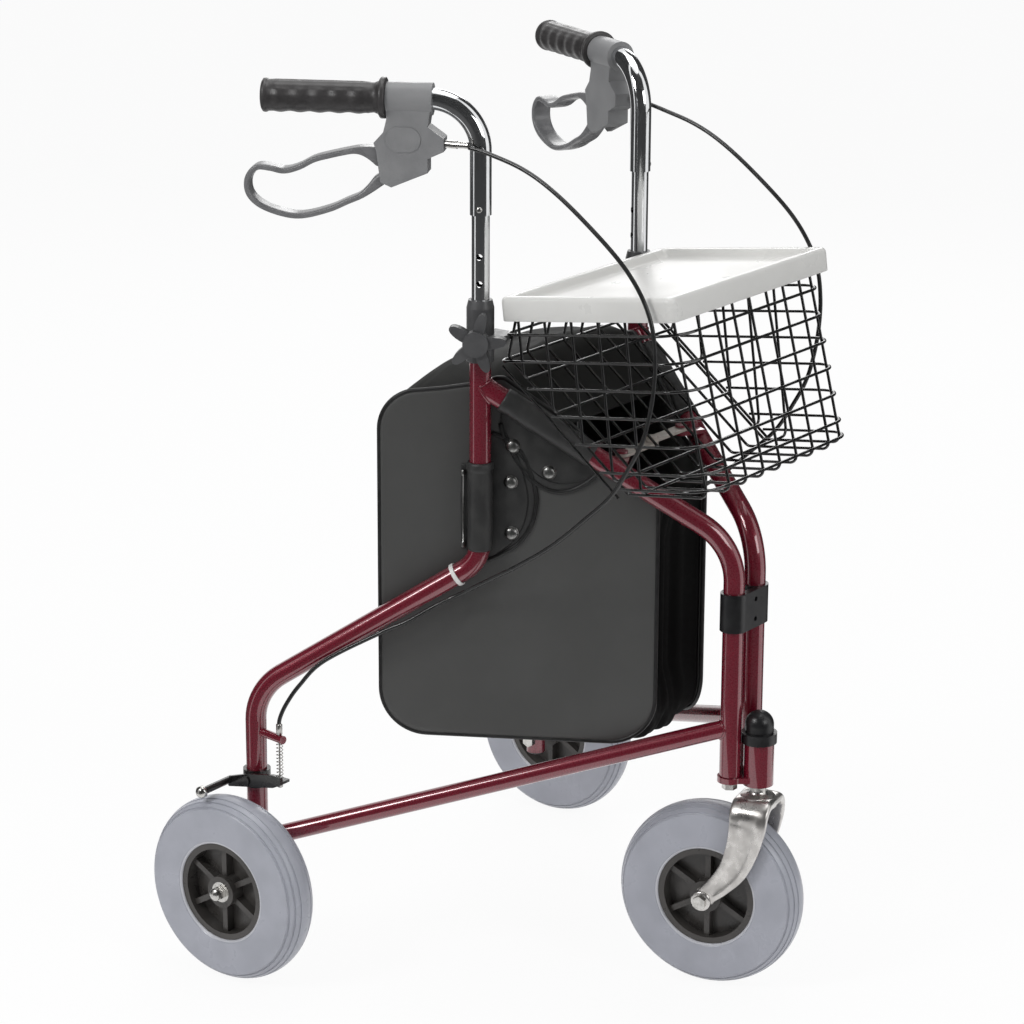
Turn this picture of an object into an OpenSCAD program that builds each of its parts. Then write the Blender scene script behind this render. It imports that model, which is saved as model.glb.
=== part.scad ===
// Three-wheel rollator: a folding walking frame with a front caster, two braked rear wheels,
// height-adjustable handles, a wire basket with a tray, and a bag between the side frames.
// Millimetres, +Z up, +Y to the front, origin on the floor under the middle of the part.

/* [Side frames] */
// Angle of each side frame from the fore-and-aft line, in degrees
splay = 28.3; // [24:0.1:32]
// Distance between the two hinge posts
post_gap = 40; // [38:1:46]
// Outside diameter of the main frame tubes
tube_d = 22; // [20:0.5:24]
// Wall of the frame tubes
tube_wall = 1.8; // [1.4:0.1:2.4]
// Outside diameter of the lower rails
rail_d = 19; // [16:0.5:20]
// Distance from hinge post to upright, along the side frame
upright_reach = 260; // [245:1:275]
// Distance from hinge post to rear leg, along the side frame
leg_reach = 496; // [470:1:520]
// Height of the corner at the foot of the upright
slope_top = 457; // [445:1:470]
// Height of the corner at the top of the rear leg
slope_low = 307; // [300:1:320]
// Centre-line bend radius at the foot of the upright
slope_top_bend = 35; // [30:1:45]
// Centre-line bend radius at the top of the rear leg
slope_low_bend = 60; // [45:1:65]
// Height of the diagonal tube where it meets the upright
diag_top = 643; // [630:1:655]
// Height of the corner between diagonal tube and hinge post
diag_low = 485; // [475:1:500]
// Centre-line bend radius between diagonal tube and hinge post
diag_bend = 70; // [50:1:80]
// Height of the lower rail at the hinge post
rail_front = 290; // [285:1:300]
// Height of the lower rail at the rear leg
rail_rear = 139; // [135:1:150]

/* [Wheels] */
// Diameter of all three wheels
wheel_d = 200; // [190:1:206]
// Width of the tyres
tyre_w = 42; // [38:1:44]
// Diameter where the tyre meets the hub
hub_d = 106; // [96:1:116]
// Width of the hub's centre boss
boss_w = 40; // [36:1:42]
// Outside diameter of the wheel bearings
bearing_d = 22; // [20:1:24]
// Diameter of the axle bolts
axle_d = 8; // [6:0.5:9]
// Number of ribs on each hub
hub_ribs = 6; // [5:1:8]
// Distance from rear leg to the middle of its wheel
wheel_offset = 43; // [42:0.5:48]

/* [Caster] */
// Distance of the swivel axis in front of the hinge posts
caster_front = 22; // [20:1:28]
// Distance that the front axle trails behind the swivel axis
trail = 48; // [42:1:54]
// Angle at which the caster stands, in degrees
caster_turn = 12; // [0:1:30]
// Diameter of the swivel stem
stem_d = 12; // [10:0.5:14]
// Height of the swivel housing
housing_h = 46; // [42:1:54]
// Outside diameter of the swivel housing
housing_d = 32; // [30:1:36]
// Thickness of the fork's legs
fork_leg = 8; // [6:0.5:10]

/* [Handles] */
// Outside diameter of the telescoping height tubes
height_d = 18.3; // [16:0.1:18.4]
// Distance between the height holes
hole_pitch = 27.5; // [25:0.5:30]
// Height of the grip above the lower end of the handle tube
handle_rise = 114; // [105:1:125]
// Centre-line bend radius of the handle tubes
handle_bend = 50; // [40:1:55]
// Length of the hand grip
grip_len = 125; // [110:1:140]
// Diameter of the hand grip
grip_d = 32; // [29:0.5:36]
// Length of the brake housing along the handle
brake_len = 46; // [40:1:52]
// Distance from lever pivot to the tip of the lever
lever_len = 157; // [140:1:170]
// Width of the lever's finger loop
lever_w = 22; // [16:1:26]

/* [Basket and tray] */
// Length of the tray, front to back
tray_l = 206; // [190:1:215]
// Width of the tray
tray_w = 296; // [280:2:298]
// Height of the tray's rim
tray_h = 24; // [20:1:30]
// Tilt of basket and tray, front up, in degrees
basket_tilt = 7.5; // [4:0.5:10]
// Depth of the basket below the tray's top
basket_depth = 204; // [190:1:210]
// Diameter of the basket's wires
wire_d = 3; // [2.4:0.2:3.6]
// Distance between the basket's rings
ring_pitch = 27.5; // [25:0.5:29]
// Distance between the basket's upright wires
wire_pitch = 32; // [30:1:34]

/* [Bag] */
// Distance from hinge post to the bag's front edge
bag_front = 80; // [70:1:90]
// Distance from hinge post to the bag's rear edge
bag_rear = 366; // [350:1:380]
// Height of the bag's bottom
bag_low = 262; // [250:1:275]
// Thickness of the bag's stiff side panels
panel_t = 5; // [3:0.5:6]

/* [Brakes] */
// Height of the brake arm's pivot above the tyre
brake_rise = 11; // [10:0.5:13]
// Diameter of the bar that presses on the tyre
shoe_d = 8; // [6:0.5:9]
// Distance from brake pivot to bar
shoe_reach = 23; // [20:0.5:26]
// Distance from brake pivot to the cable's hole
pull_reach = 37; // [34:0.5:42]
// Outside diameter of the brake cable
cable_d = 4.4; // [4:0.2:5.4]
// Turns of the brake's return spring
spring_turns = 10; // [6:1:12]

/* [Hidden] */
$fn = 64;

// Clearances: a running fit, a weld seam, a seat between pieces, and one overrun for all cuts
run_fit = 0.05;
weld_gap = 0.02;
seat = 0.3;
cut = 2;

// Seam where a straight length of tube or wire meets a bend that isn't square
seam = 0.25;
seam_skin = 0.05;

// Colours of the finishes
red_paint = [0.45, 0.05, 0.12];
chrome = [0.8, 0.82, 0.84];
cast_metal = [0.74, 0.74, 0.73];
dark_plastic = [0.25, 0.25, 0.26];
black_plastic = [0.09, 0.09, 0.09];
grey_rubber = [0.62, 0.63, 0.7];
black_rubber = [0.14, 0.13, 0.13];
grey_vinyl = [0.25, 0.25, 0.24];
black_cloth = [0.05, 0.05, 0.05];
white_plastic = [0.93, 0.93, 0.91];
zinc = [0.7, 0.67, 0.6];

// Tubes
tube_r = tube_d / 2;
bore_r = tube_r - tube_wall;
rail_r = rail_d / 2;
wheel_r = wheel_d / 2;
axle_r = axle_d / 2;

// Rear leg's place, seen from above, with the hinge posts on the line y = 0
post_x = post_gap / 2;
leg_x = post_x + leg_reach * sin(splay);
leg_y = -leg_reach * cos(splay);

// Tyre section: a round crown cut to the tyre's width
crown_r = 27;
crown_mid = wheel_r - crown_r;
groove_r = 1.3;
groove_angles = [-46, -32, -18, 18, 32, 46];
bead_r = 1.8;

// Hub
rim_t = 6.5;
rim_inset = 2.5;
rim_w = tyre_w - 2 * rim_inset;
web_t = 5;
boss_wall = 6;
boss_r = bearing_d / 2 + boss_wall;
rib_t = 6;
rib_inset = 8;
rib_w = tyre_w - 2 * rib_inset;
bearing_w = 7;
boss_bore_gap = 1.5;
boss_bore_r = axle_r + boss_bore_gap;
tyre_seat = 0.1;

// Swivel head: fork crown above the tyre, a neck, then the housing
crown_gap = 3;
crown_h = 12;
crown_pad_r = 20;
neck_h = 12;
neck_r = 9;
crown_z = wheel_d + crown_gap;
head_z = crown_z + crown_h + neck_h;
head_top = head_z + housing_h;
housing_wall = 3;
head_bearing_r = housing_d / 2 - housing_wall;
head_bearing_h = 8;
bearing_inset = 1;
stem_r = stem_d / 2;
stem_nut_r = 9;
stem_nut_h = 6.5;
cap_flange_r = norm([post_x, caster_front]) - tube_r - seat;
cap_flange_h = 11;
cap_in = 1;
cap_r = housing_d / 2 - cap_in;
cap_wall = 3;
cap_straight = 8;
web_half = 3;
web_h = 32;

// Hinges: plate and bolts under the posts, strap round them
plate_drop = 4;
plate_h = 6;
plate_r = 13;
plate_z = head_z + plate_drop;
post_z = plate_z + plate_h + seat;
hinge_r = 5;
hinge_head_r = 8;
hinge_head_h = 8;
plug_h = 46;
strap_h = 40;
strap_drop = 50;
strap_t = 3;
strap_z = diag_low - strap_drop - strap_h;
strap_hole_r = 2.6;
strap_hole_gap = 21;
strap_plate_t = 8;

// Middle of the part: halfway between the rear tyres' backs and the front tyre's front
back_end = wheel_r - leg_y;
front_end = caster_front + (crown_mid - trail) * cos(caster_turn) + crown_r;
post_y = (back_end - front_end) / 2;

// Side tubes
tube_in_collar = 48;
collar_rise = 25;
collar_z = diag_top + collar_rise;
collar_h = 63;
collar_top = collar_z + collar_h;
tube_top = collar_z + tube_in_collar;
leg_tail = 16;
leg_foot = wheel_r - leg_tail;
main_path = [
  [upright_reach, tube_top], [upright_reach, slope_top],
  [leg_reach, slope_low], [leg_reach, leg_foot]
];
main_bends = [0, slope_top_bend, slope_low_bend, 0];
diag_path = [[upright_reach, diag_top], [0, diag_low], [0, post_z]];
diag_bends = [0, diag_bend, 0];

// Height collar, clamping knob and basket tongue
collar_r = 14;
collar_taper = 8;
knob_rise = 25;
knob_z = collar_z + knob_rise;
stud_r = 4;
knob_boss_r = 9;
knob_boss_end = 24;
knob_hole_gap = 1;
knob_hole_r = stud_r + knob_hole_gap;
knob_tip = 31;
knob_waist = 11;
knob_lobes = 5;
knob_sharp = 1.4;
knob_t = 11;
knob_hub_r = 13;
knob_hub_t = 14;
knob_lobe_angle = 31;
knob_steps = 90;
tongue_in = 26;
tongue_out = 6;
tongue_h = 5;

// Handles
height_r = height_d / 2;
height_wall = 2;
height_in = 150;
height_up = 45;
height_hole_r = 3.2;
height_holes = [-1, 0, 1, 2, 3];
step_gap = 86;
step_z = collar_top + step_gap;
grip_z = step_z + handle_rise;
handle_bore_r = height_r + run_fit;
housing_lap = 3;
housing_start = upright_reach + handle_bend - housing_lap;
grip_start = housing_start + brake_len + seat;
grip_end = grip_start + grip_len;
grip_r = grip_d / 2;
grip_flange_out = 4.5;
grip_flange_r = grip_r + grip_flange_out;
grip_flange_t = 6;
grip_neck = 14;
grip_cap = 5;
grip_wave = 0.9;
grip_waves = 5;
grip_edge = 2;
wave_steps = 8;

// Brake housing and lever: outlines in shares of the housing's length and height
housing_r = grip_r;
brake_h = 98;
body_half = 12;
pivot_shares = [0.67, 0.64];
lever_pivot = [housing_start + brake_len * pivot_shares[0], grip_z - brake_h * pivot_shares[1]];
pivot_r = 3;
pivot_boss_r = 9;
root_half = 6;
root_t = 8;
loop_t = 6;
loop_steps = 4;
slot_gap = 0.5;
slot_half = root_half + slot_gap;
slot_front = 12;
slot_low = 32;
slot_high = 38;
housing_shares = [
  [1, 0], [0, 0], [0.09, -0.265], [-0.26, -0.385], [-0.26, -0.515], [0.09, -0.59],
  [0.09, -0.735], [0.88, -0.89], [1.12, -0.84], [1.2, -0.535], [1.26, -0.44], [1.05, -0.33], [0.98, -0.2]
];
loop_shares = [
  [0.242, 0.076], [0.35, 0.058], [0.459, 0.032], [0.56, 0.003], [0.656, -0.047], [0.752, -0.073],
  [0.847, -0.057], [0.93, -0.057], [0.987, -0.127], [0.981, -0.223], [0.904, -0.299],
  [0.758, -0.35], [0.631, -0.357], [0.465, -0.312], [0.35, -0.26], [0.242, -0.21]
];
badge_r = 12.5;
badge_half = 5;
badge_t = 0.8;
badge_shares = [0.62, -0.40];

// Cable adjuster: a knurled barrel and a ferrule, turned outwards past the handle tube
adjuster_shares = [-0.3, -0.44];
adjuster_out = 7;
adjuster_turn = 15;
barrel_r = 4;
barrel_len = 12;
ferrule_r = 3.3;
ferrule_len = 12;

// Rear axle and brake, measured from the rear leg's axis
spacer_r = 7.5;
head_r = 7.5;
head_t = 6;
nut_t = 7;
nut_cap_r = 9;
brake_z = wheel_d + brake_rise;
clamp_t = 3.5;
clamp_h = 18;
arm_gap = 0.5;
arm_x = tube_r + clamp_t + arm_gap;
arm_t = 4;
arm_half = 7;
arm_tip_half = 4;
arm_slope = 0.19;
arm_tail = 10;
brake_pin_r = 3;
pin_head_r = 5.5;
pin_head_t = 1.5;
pull_x = 7;
tab_w = 14;
tab_t = 3;
tab_rise = 3;
tab_z = brake_z + tab_rise;
tab_hole_r = 1.3;
peg_rise = 51;
peg_r = 4.5;
peg_past = 6;
peg_hole_r = 1.6;
peg_z = brake_z + peg_rise;
wire_r = 0.9;
nipple_r = 3;
nipple_h = 5;
spring_r = 3.2;
spring_wire_r = 0.5;
spring_rings = 8;
spring_sides = 6;
spring_side = [0, 0.1, 1];

// Folding brace: two flat links across the bag's mouth, on lugs inside the diagonals
lug_reach_share = 0.454;
lug_reach = upright_reach * lug_reach_share;
lug_in = 24;
lug_half = 8;
lug_h = 4.4;
link_half = 7;
link_t = 3;
link_pin_r = 3;
rivet_r = 6;
rivet_t = 2.5;
link_step = 0.5;
lug_rise = 6;
lug_z = diag_z(lug_reach) + lug_rise;
link_z = lug_z + lug_h + seat;
lug_x = post_x + lug_reach * sin(splay) - lug_in * cos(splay);

// Bag
panel_gap = 2;
panel_out = tube_r + panel_gap;
panel_in = panel_out + panel_t;
bag_corner_low = 48;
bag_corner_high = 42;
bag_rear_drop = 12;
bag_rear_top = diag_top - bag_rear_drop;
bag_rise = 5;
bag_peak_share = 0.923;
bag_peak = [upright_reach * bag_peak_share, diag_top + bag_rise];
bag_slack_shares = [0.405, 0.44];
bag_step_share = 0.646;
bag_step = upright_reach * bag_step_share;
bag_step_rise = 13;
bag_wall = 2.5;
arc_steps = 10;
gusset_rear_drop = 57;
gusset_front_drop = 12;
gusset_rise = 4;
sleeve_t = 1.7;
sleeve_rise = 24;
sleeve_len_share = 0.506;
flap_t = 2;
flap_front = 45;
flap_back = 12;
flap_low = 18;
flap_h_share = 0.69;
wrap_from_share = 0.5615;
wrap_from = upright_reach * wrap_from_share;
wrap_to_share = 0.904;
wrap_to = upright_reach * wrap_to_share;
flap_from = bag_step;
wrap_drop = 54;
wrap_snap_share = 0.6;
snap_r = 7.5;
snap_tip_r = 5.5;
snap_t = 3.2;
snap_shares = [[0.25, 0.12], [0.3, 0.55], [0.3, 0.87]];
rod_r = 1.2;
rod_back = 17;
rod_len = 80;

// Basket: origin at the rear top edge of the tray, y along the tray, z square to it
tray_rise = 69;
tray_rear_gap = 25;
tray_corner = 8;
tray_wall = 2.5;
tray_floor = 2.5;
tray_lip = 12;
tray_dish = 9;
tray_y = -upright_reach * cos(splay) + tray_rear_gap;
tray_z = collar_z + tray_rise;
rim_d = 5;
rim_r = rim_d / 2;
rod_r_basket = wire_d / 2;
layer_gap = 0.2;
layer = wire_d + layer_gap;
rim_w_z = -tray_dish - tray_floor - seat - rim_r;
rim_half = tray_w / 2 - tray_wall - seat - rim_r;
rim_rear = tray_wall + seat + rim_r;
rim_front = tray_l - rim_rear;
ring_in = 2;
ring_half = rim_half - ring_in;
grid = 0.01;
rim_corner = 12;
ring_corner = 30;
ring_rear_corner = 12;
front_lean = 22;
rear_lean = 18;
ring_top = 39;
full_rings = 2;
ring_slack_share = 0.01;
ring_count = floor((basket_depth - ring_top) / ring_pitch + ring_slack_share) + 1;
slant_from = ring_top + ring_pitch;
slant_floor = 117;
upright_wires = 4;
cross_first = 14;
cross_count = 5;
wire_bend = 8;
lowest_ring = -basket_depth + layer + wire_bend;

// Brake cable's route on the right side, from the ferrule at the lever to the stop at the leg
cable_points = [
  [160, -231, 886], [157, -210, 882], [156, -172, 872], [156, -139, 857], [156, -101, 832],
  [156, -56, 796], [156, -31, 767], [156, -17, 738], [156, -12, 706], [156, -13, 674],
  [156, -18, 644], [156, -26, 617], [156, -39, 592], [156, -61, 558], [156, -89, 531],
  [156, -130, 495], [156, -172, 466], [156, -205, 446], [158, -243, 423], [170, -264, 410],
  [189, -289, 392], [201, -311, 380], [231, -364, 346], [247, -384, 320], [257, -394, 300],
  [262, -399, 284]
];
cable_end = [leg_x + pull_x, leg_y + pull_reach, peg_z + peg_r + seat + ferrule_len / 2];
cable_route = concat(cable_points, [cable_end]);
cable_side = [1, 0, 0];
cable_sides = 8;
cable_steps = 3;

// Height of the diagonal tube's axis at a distance along the side frame
function diag_z(d) = diag_low + (diag_top - diag_low) * d / upright_reach;

// Paths
function unit(v) = v / norm(v);
function turn(p, i) = acos(unit(p[i] - p[i - 1]) * unit(p[i + 1] - p[i]));
function set_back(p, b, i) = i == 0 || i == len(p) - 1 ? 0 : b[i] * tan(turn(p, i) / 2);
angle_slack = 0.001;
function square_turn(p, i) = abs(turn(p, i) - 90) < angle_slack;
function cross2(a, b) = a[0] * b[1] - a[1] * b[0];
function arc(c, r, from, to, n) =
  [for (i = [0:n]) c + r * [cos(from + (to - from) * i / n), sin(from + (to - from) * i / n)]];

// Smooth curve through points: each span is a cubic with the neighbours' chord as tangent
function spline_at(p, i, t) =
  let (
    a = p[max(i - 1, 0)],
    b = p[i],
    c = p[i + 1],
    d = p[min(i + 2, len(p) - 1)]
  )
  b + (c - a) * t / 2 + (2 * a - 5 * b + 4 * c - d) * t * t / 2
    + (3 * b - a - 3 * c + d) * t * t * t / 2;
function spline(p, n) = concat(
  [for (i = [0:len(p) - 2]) for (k = [0:n - 1]) spline_at(p, i, k / n)],
  [p[len(p) - 1]]
);

// Edge of a strip of even width that follows a flat curve
function curve_normal(p, i) =
  let (u = unit(p[min(i + 1, len(p) - 1)] - p[max(i - 1, 0)])) [-u[1], u[0]];
function strip(p, t) = concat(
  [for (i = [0:len(p) - 1]) p[i] + curve_normal(p, i) * t / 2],
  [for (i = [len(p) - 1:-1:0]) p[i] - curve_normal(p, i) * t / 2]
);

// Round bar along a flat path in x and z, with bends of the given radii
module bent_bar(p, bends, r) {
  for (i = [0:len(p) - 2]) {
    u = unit(p[i + 1] - p[i]);
    a = p[i] + u * set_back(p, bends, i);
    long = norm(p[i + 1] - u * set_back(p, bends, i + 1) - a);
    first = i > 0 && !square_turn(p, i) ? seam : 0;
    last = i < len(p) - 2 && !square_turn(p, i + 1) ? seam : 0;
    translate([a[0], 0, a[1]])
      rotate([0, atan2(u[0], u[1]), 0]) {
        translate([0, 0, first]) cylinder(h = long - first - last, r = r);
        if (first > 0) translate([0, 0, -2 * seam]) cylinder(h = 4 * seam, r = r + seam_skin);
        if (last > 0) translate([0, 0, long - 2 * seam]) cylinder(h = 4 * seam, r = r + seam_skin);
      }
  }
  for (i = [1:len(p) - 2]) {
    if (bends[i] > 0) bend_arc(p[i - 1], p[i], p[i + 1], bends[i], turn(p, i), r);
  }
}

module bend_arc(a, b, c, bend, angle, r) {
  u = unit(b - a);
  v = unit(c - b);
  left = cross2(u, v) > 0 ? 1 : -1;
  centre = b + unit(v - u) * bend / cos(angle / 2);
  start = atan2(u[1], u[0]) - left * 90 - (left > 0 ? 0 : angle);
  translate([centre[0], 0, centre[1]])
    rotate([90, 0, 0])
      rotate([0, 0, start])
        rotate_extrude(angle = angle)
          translate([bend, 0])
            circle(r);
}

// Closed tube swept through points, with rings of n corners square to the path
module swept_tube(p, r, n, side) {
  last = len(p) - 1;
  rings = [
    for (i = [0:last])
      let (
        t = unit(p[min(i + 1, last)] - p[max(i - 1, 0)]),
        a = unit(cross(t, side)),
        b = cross(a, t)
      )
      for (k = [0:n - 1]) p[i] + r * (cos(360 * k / n) * a + sin(360 * k / n) * b)
  ];
  walls = [
    for (i = [0:last - 1])
      for (k = [0:n - 1])
        let (a = i * n + k, b = i * n + (k + 1) % n)
        for (f = [[a, b, b + n], [a, b + n, a + n]]) f
  ];
  foot = [for (k = [1:n - 2]) [0, k + 1, k]];
  top = [for (k = [1:n - 2]) [last * n, last * n + k, last * n + k + 1]];
  polyhedron(rings, concat(walls, foot, top));
}

// Placing
module in_place() {
  translate([0, post_y, 0]) children();
}

module on_side(right) {
  in_place() {
    if (right) children();
    else mirror([1, 0, 0]) children();
  }
}

// Side frame's own plane: x from post to leg, y outwards
module side_plane() {
  translate([post_x, 0, 0]) rotate([0, 0, splay - 90]) children();
}

module at_leg() {
  translate([leg_x, leg_y, 0]) children();
}

module at_caster() {
  in_place() translate([0, caster_front, 0]) rotate([0, 0, caster_turn]) children();
}

module at_front_wheel() {
  at_caster() translate([0, -trail, wheel_r]) children();
}

module at_rear_wheel() {
  at_leg() translate([wheel_offset, 0, wheel_r]) children();
}

module along_x() {
  rotate([0, 90, 0]) children();
}

module along_y() {
  rotate([-90, 0, 0]) children();
}

module hex(r, h) {
  cylinder(h = h, r = r, $fn = 6);
}

module ring(outer, inner, h) {
  difference() {
    cylinder(h = h, r = outer);
    translate([0, 0, -cut]) cylinder(h = h + 2 * cut, r = inner);
  }
}

// Tyre with its axle along x: round crown, flat sides, tread grooves and a bead beside the hub
module tyre() {
  along_x() rotate_extrude() difference() {
    union() {
      intersection() {
        translate([crown_mid, 0]) circle(crown_r);
        translate([hub_d / 2, -tyre_w / 2]) square([wheel_r, tyre_w]);
      }
      for (s = [-1, 1])
        translate([hub_d / 2 + bead_r, s * rim_w / 2]) circle(bead_r);
    }
    for (g = groove_angles)
      translate([crown_mid + crown_r * cos(g), crown_r * sin(g)]) circle(groove_r);
  }
}

// Hub with its axle along x: rim, web, ribs and a boss bored for two bearings
module hub() {
  rim_r = hub_d / 2 - tyre_seat;
  along_x() difference() {
    union() {
      translate([0, 0, -rim_w / 2]) ring(rim_r, rim_r - rim_t, rim_w);
      translate([0, 0, -web_t / 2]) cylinder(h = web_t, r = rim_r - rim_t / 2);
      translate([0, 0, -boss_w / 2]) cylinder(h = boss_w, r = boss_r);
      for (i = [0:hub_ribs - 1])
        rotate([0, 0, i * 360 / hub_ribs])
          translate([0, -rib_t / 2, -rib_w / 2])
            cube([rim_r - rim_t / 2, rib_t, rib_w]);
    }
    for (s = [0, 1])
      mirror([0, 0, s])
        translate([0, 0, boss_w / 2 - bearing_w])
          cylinder(h = bearing_w + cut, r = bearing_d / 2 + weld_gap);
    translate([0, 0, -boss_w]) cylinder(h = 2 * boss_w, r = boss_bore_r);
  }
}

module bearing_pair() {
  along_x() for (s = [0, 1])
    mirror([0, 0, s])
      translate([0, 0, boss_w / 2 - bearing_w])
        ring(bearing_d / 2, axle_r + run_fit, bearing_w);
}

// Swivel head
module head_tube() color(red_paint) in_place() difference() {
  union() {
    translate([0, caster_front, head_z]) cylinder(h = housing_h, r = housing_d / 2);
    translate([0, 0, plate_z]) linear_extrude(plate_h) {
      for (s = [-1, 1])
        translate([s * post_x, 0]) circle(plate_r);
      translate([-post_x, -plate_r]) square([post_gap, 2 * plate_r]);
      polygon([
        [-post_x - plate_r, 0], [post_x + plate_r, 0],
        [housing_d / 2, caster_front], [-housing_d / 2, caster_front]
      ]);
    }
    translate([-web_half, 0, plate_z]) cube([2 * web_half, caster_front, plate_h + web_h]);
  }
  translate([0, caster_front, head_z - cut])
    cylinder(h = housing_h + 2 * cut, r = head_bearing_r + weld_gap);
  for (s = [-1, 1])
    translate([s * post_x, 0, plate_z - cut])
      cylinder(h = plate_h + 2 * cut, r = hinge_r + weld_gap);
}

module head_cap() color(black_plastic) in_place() translate([0, caster_front, head_top]) difference() {
  union() {
    cylinder(h = cap_flange_h, r = cap_flange_r);
    cylinder(h = cap_flange_h + cap_straight, r = cap_r);
    translate([0, 0, cap_flange_h + cap_straight]) sphere(cap_r);
  }
  translate([0, 0, -cap_r - cut]) cylinder(h = cap_r + cut, r = cap_r + cut);
  translate([0, 0, -cut]) cylinder(h = cap_flange_h + cap_straight + cut, r = cap_r - cap_wall);
}

module hinge_strap() color(dark_plastic) in_place() translate([0, 0, strap_z]) difference() {
  linear_extrude(strap_h) difference() {
    union() {
      for (s = [-1, 1])
        translate([s * post_x, 0]) circle(tube_r + strap_t);
      translate([-post_x, tube_r + strap_t - strap_plate_t]) square([post_gap, strap_plate_t]);
    }
    for (s = [-1, 1])
      translate([s * post_x, 0]) circle(tube_r + run_fit);
  }
  for (s = [-1, 1])
    translate([0, 0, strap_h / 2 + s * strap_hole_gap / 2])
      along_y() cylinder(h = tube_d, r = strap_hole_r);
}

module hinge_bolts() color(chrome) in_place() for (s = [-1, 1]) translate([s * post_x, 0, plate_z]) {
  translate([0, 0, -hinge_head_h]) hex(hinge_head_r, hinge_head_h);
  cylinder(h = plate_h + plug_h, r = hinge_r);
}

module head_bearings() color(chrome) in_place() translate([0, caster_front, 0])
  for (z = [head_z + bearing_inset, head_top - bearing_inset - head_bearing_h])
    translate([0, 0, z]) ring(head_bearing_r, stem_r + run_fit, head_bearing_h);

// Caster
module caster_stem() color(chrome) at_caster() {
  translate([0, 0, crown_z]) cylinder(h = head_top - crown_z, r = stem_r);
  translate([0, 0, crown_z + crown_h]) cylinder(h = neck_h + bearing_inset - seat, r = neck_r);
  translate([0, 0, head_top - bearing_inset + seat]) hex(stem_nut_r, stem_nut_h);
}

// Outline of a fork leg seen from the side, as two smooth edges from crown to axle
fork_gap = 4;
fork_boss_out = 1;
fork_inner = tyre_w / 2 + fork_gap;
fork_boss_r = 11;
fork_half = 21;
fork_front_shares = [[1, 0], [0.96, -0.2], [0.67, -0.45], [0.11, -0.68], [-0.81, -0.86], [-1.78, -1.03]];
fork_rear_shares = [[-1, 0], [-0.98, -0.18], [-1.1, -0.42], [-1.45, -0.64], [-2.02, -0.8], [-2.75, -0.93]];
fork_steps = 5;
fork_groove = 1.6;
fork_groove_w = 3.4;
fork_groove_shares = [0.36, 0.64];
groove_skip = 8;
groove_stop = 5;

function fork_edge(shares) =
  let (drop = crown_z + crown_h - wheel_r)
  spline([for (s = shares) [s[0] * fork_half, crown_z + crown_h + s[1] * drop]], fork_steps);

module fork_leg_shape() {
  front = fork_edge(fork_front_shares);
  rear = fork_edge(fork_rear_shares);
  polygon(concat(front, [for (i = [len(rear) - 1:-1:0]) rear[i]]));
}

module fork_groove_shape(share) {
  front = fork_edge(fork_front_shares);
  rear = fork_edge(fork_rear_shares);
  line = [for (i = [groove_skip:len(front) - groove_stop]) front[i] * share + rear[i] * (1 - share)];
  polygon(strip(line, fork_groove_w));
}

module caster_fork() color(cast_metal) at_caster() difference() {
  union() {
    translate([0, 0, crown_z]) cylinder(h = crown_h, r = crown_pad_r);
    translate([-fork_inner - fork_leg, -fork_half, crown_z])
      cube([2 * (fork_inner + fork_leg), 2 * fork_half, crown_h]);
    for (s = [0, 1])
      mirror([s, 0, 0]) {
        translate([fork_inner, 0, 0])
          rotate([90, 0, 90]) linear_extrude(fork_leg) fork_leg_shape();
        translate([fork_inner, -trail, wheel_r])
          along_x() cylinder(h = fork_leg + fork_boss_out, r = fork_boss_r);
      }
  }
  translate([0, 0, crown_z - cut]) cylinder(h = crown_h + 2 * cut, r = stem_r + weld_gap);
  translate([-2 * fork_inner, -trail, wheel_r]) along_x() cylinder(h = 4 * fork_inner, r = axle_r + weld_gap);
  for (s = [0, 1])
    mirror([s, 0, 0])
      translate([fork_inner + fork_leg - fork_groove, 0, 0])
        rotate([90, 0, 90])
          for (share = fork_groove_shares)
            linear_extrude(fork_groove + cut) fork_groove_shape(share);
}

module front_axle() color(chrome) at_front_wheel() {
  reach = fork_inner + fork_leg + fork_boss_out;
  end = reach + head_t / 2;
  translate([-end, 0, 0]) along_x() cylinder(h = 2 * end, r = axle_r);
  for (s = [0, 1])
    mirror([s, 0, 0]) {
      translate([boss_w / 2 + seat, 0, 0])
        along_x() cylinder(h = fork_inner - boss_w / 2 - 2 * seat, r = spacer_r);
      translate([reach, 0, 0]) along_x() hex(head_r, head_t);
    }
}

module front_tyre() color(grey_rubber) at_front_wheel() tyre();
module front_hub() color(black_plastic) at_front_wheel() hub();
module front_bearings() color(chrome) at_front_wheel() bearing_pair();

// Main tube of a side: upright, slope and rear leg in one bent tube, with the cable's stop peg
module main_tube(right) color(red_paint) on_side(right) difference() {
  union() {
    side_plane() bent_bar(main_path, main_bends, tube_r);
    at_leg() translate([0, 0, peg_z])
      rotate([0, 0, -atan2(pull_x, pull_reach)])
        along_y() cylinder(h = norm([pull_x, pull_reach]) + peg_past, r = peg_r);
  }
  side_plane() {
    bent_bar([main_path[0] + [0, cut], main_path[1], main_path[2], main_path[3] - [0, cut]],
      main_bends, bore_r);
    translate([upright_reach, 0, knob_z]) along_y() cylinder(h = tube_d, r = knob_hole_r);
  }
  at_leg() {
    translate([-tube_d, 0, wheel_r]) along_x() cylinder(h = 2 * tube_d, r = axle_r + weld_gap);
    translate([pull_x, pull_reach, peg_z - peg_r - cut]) cylinder(h = 2 * (peg_r + cut), r = peg_hole_r);
  }
}

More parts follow.
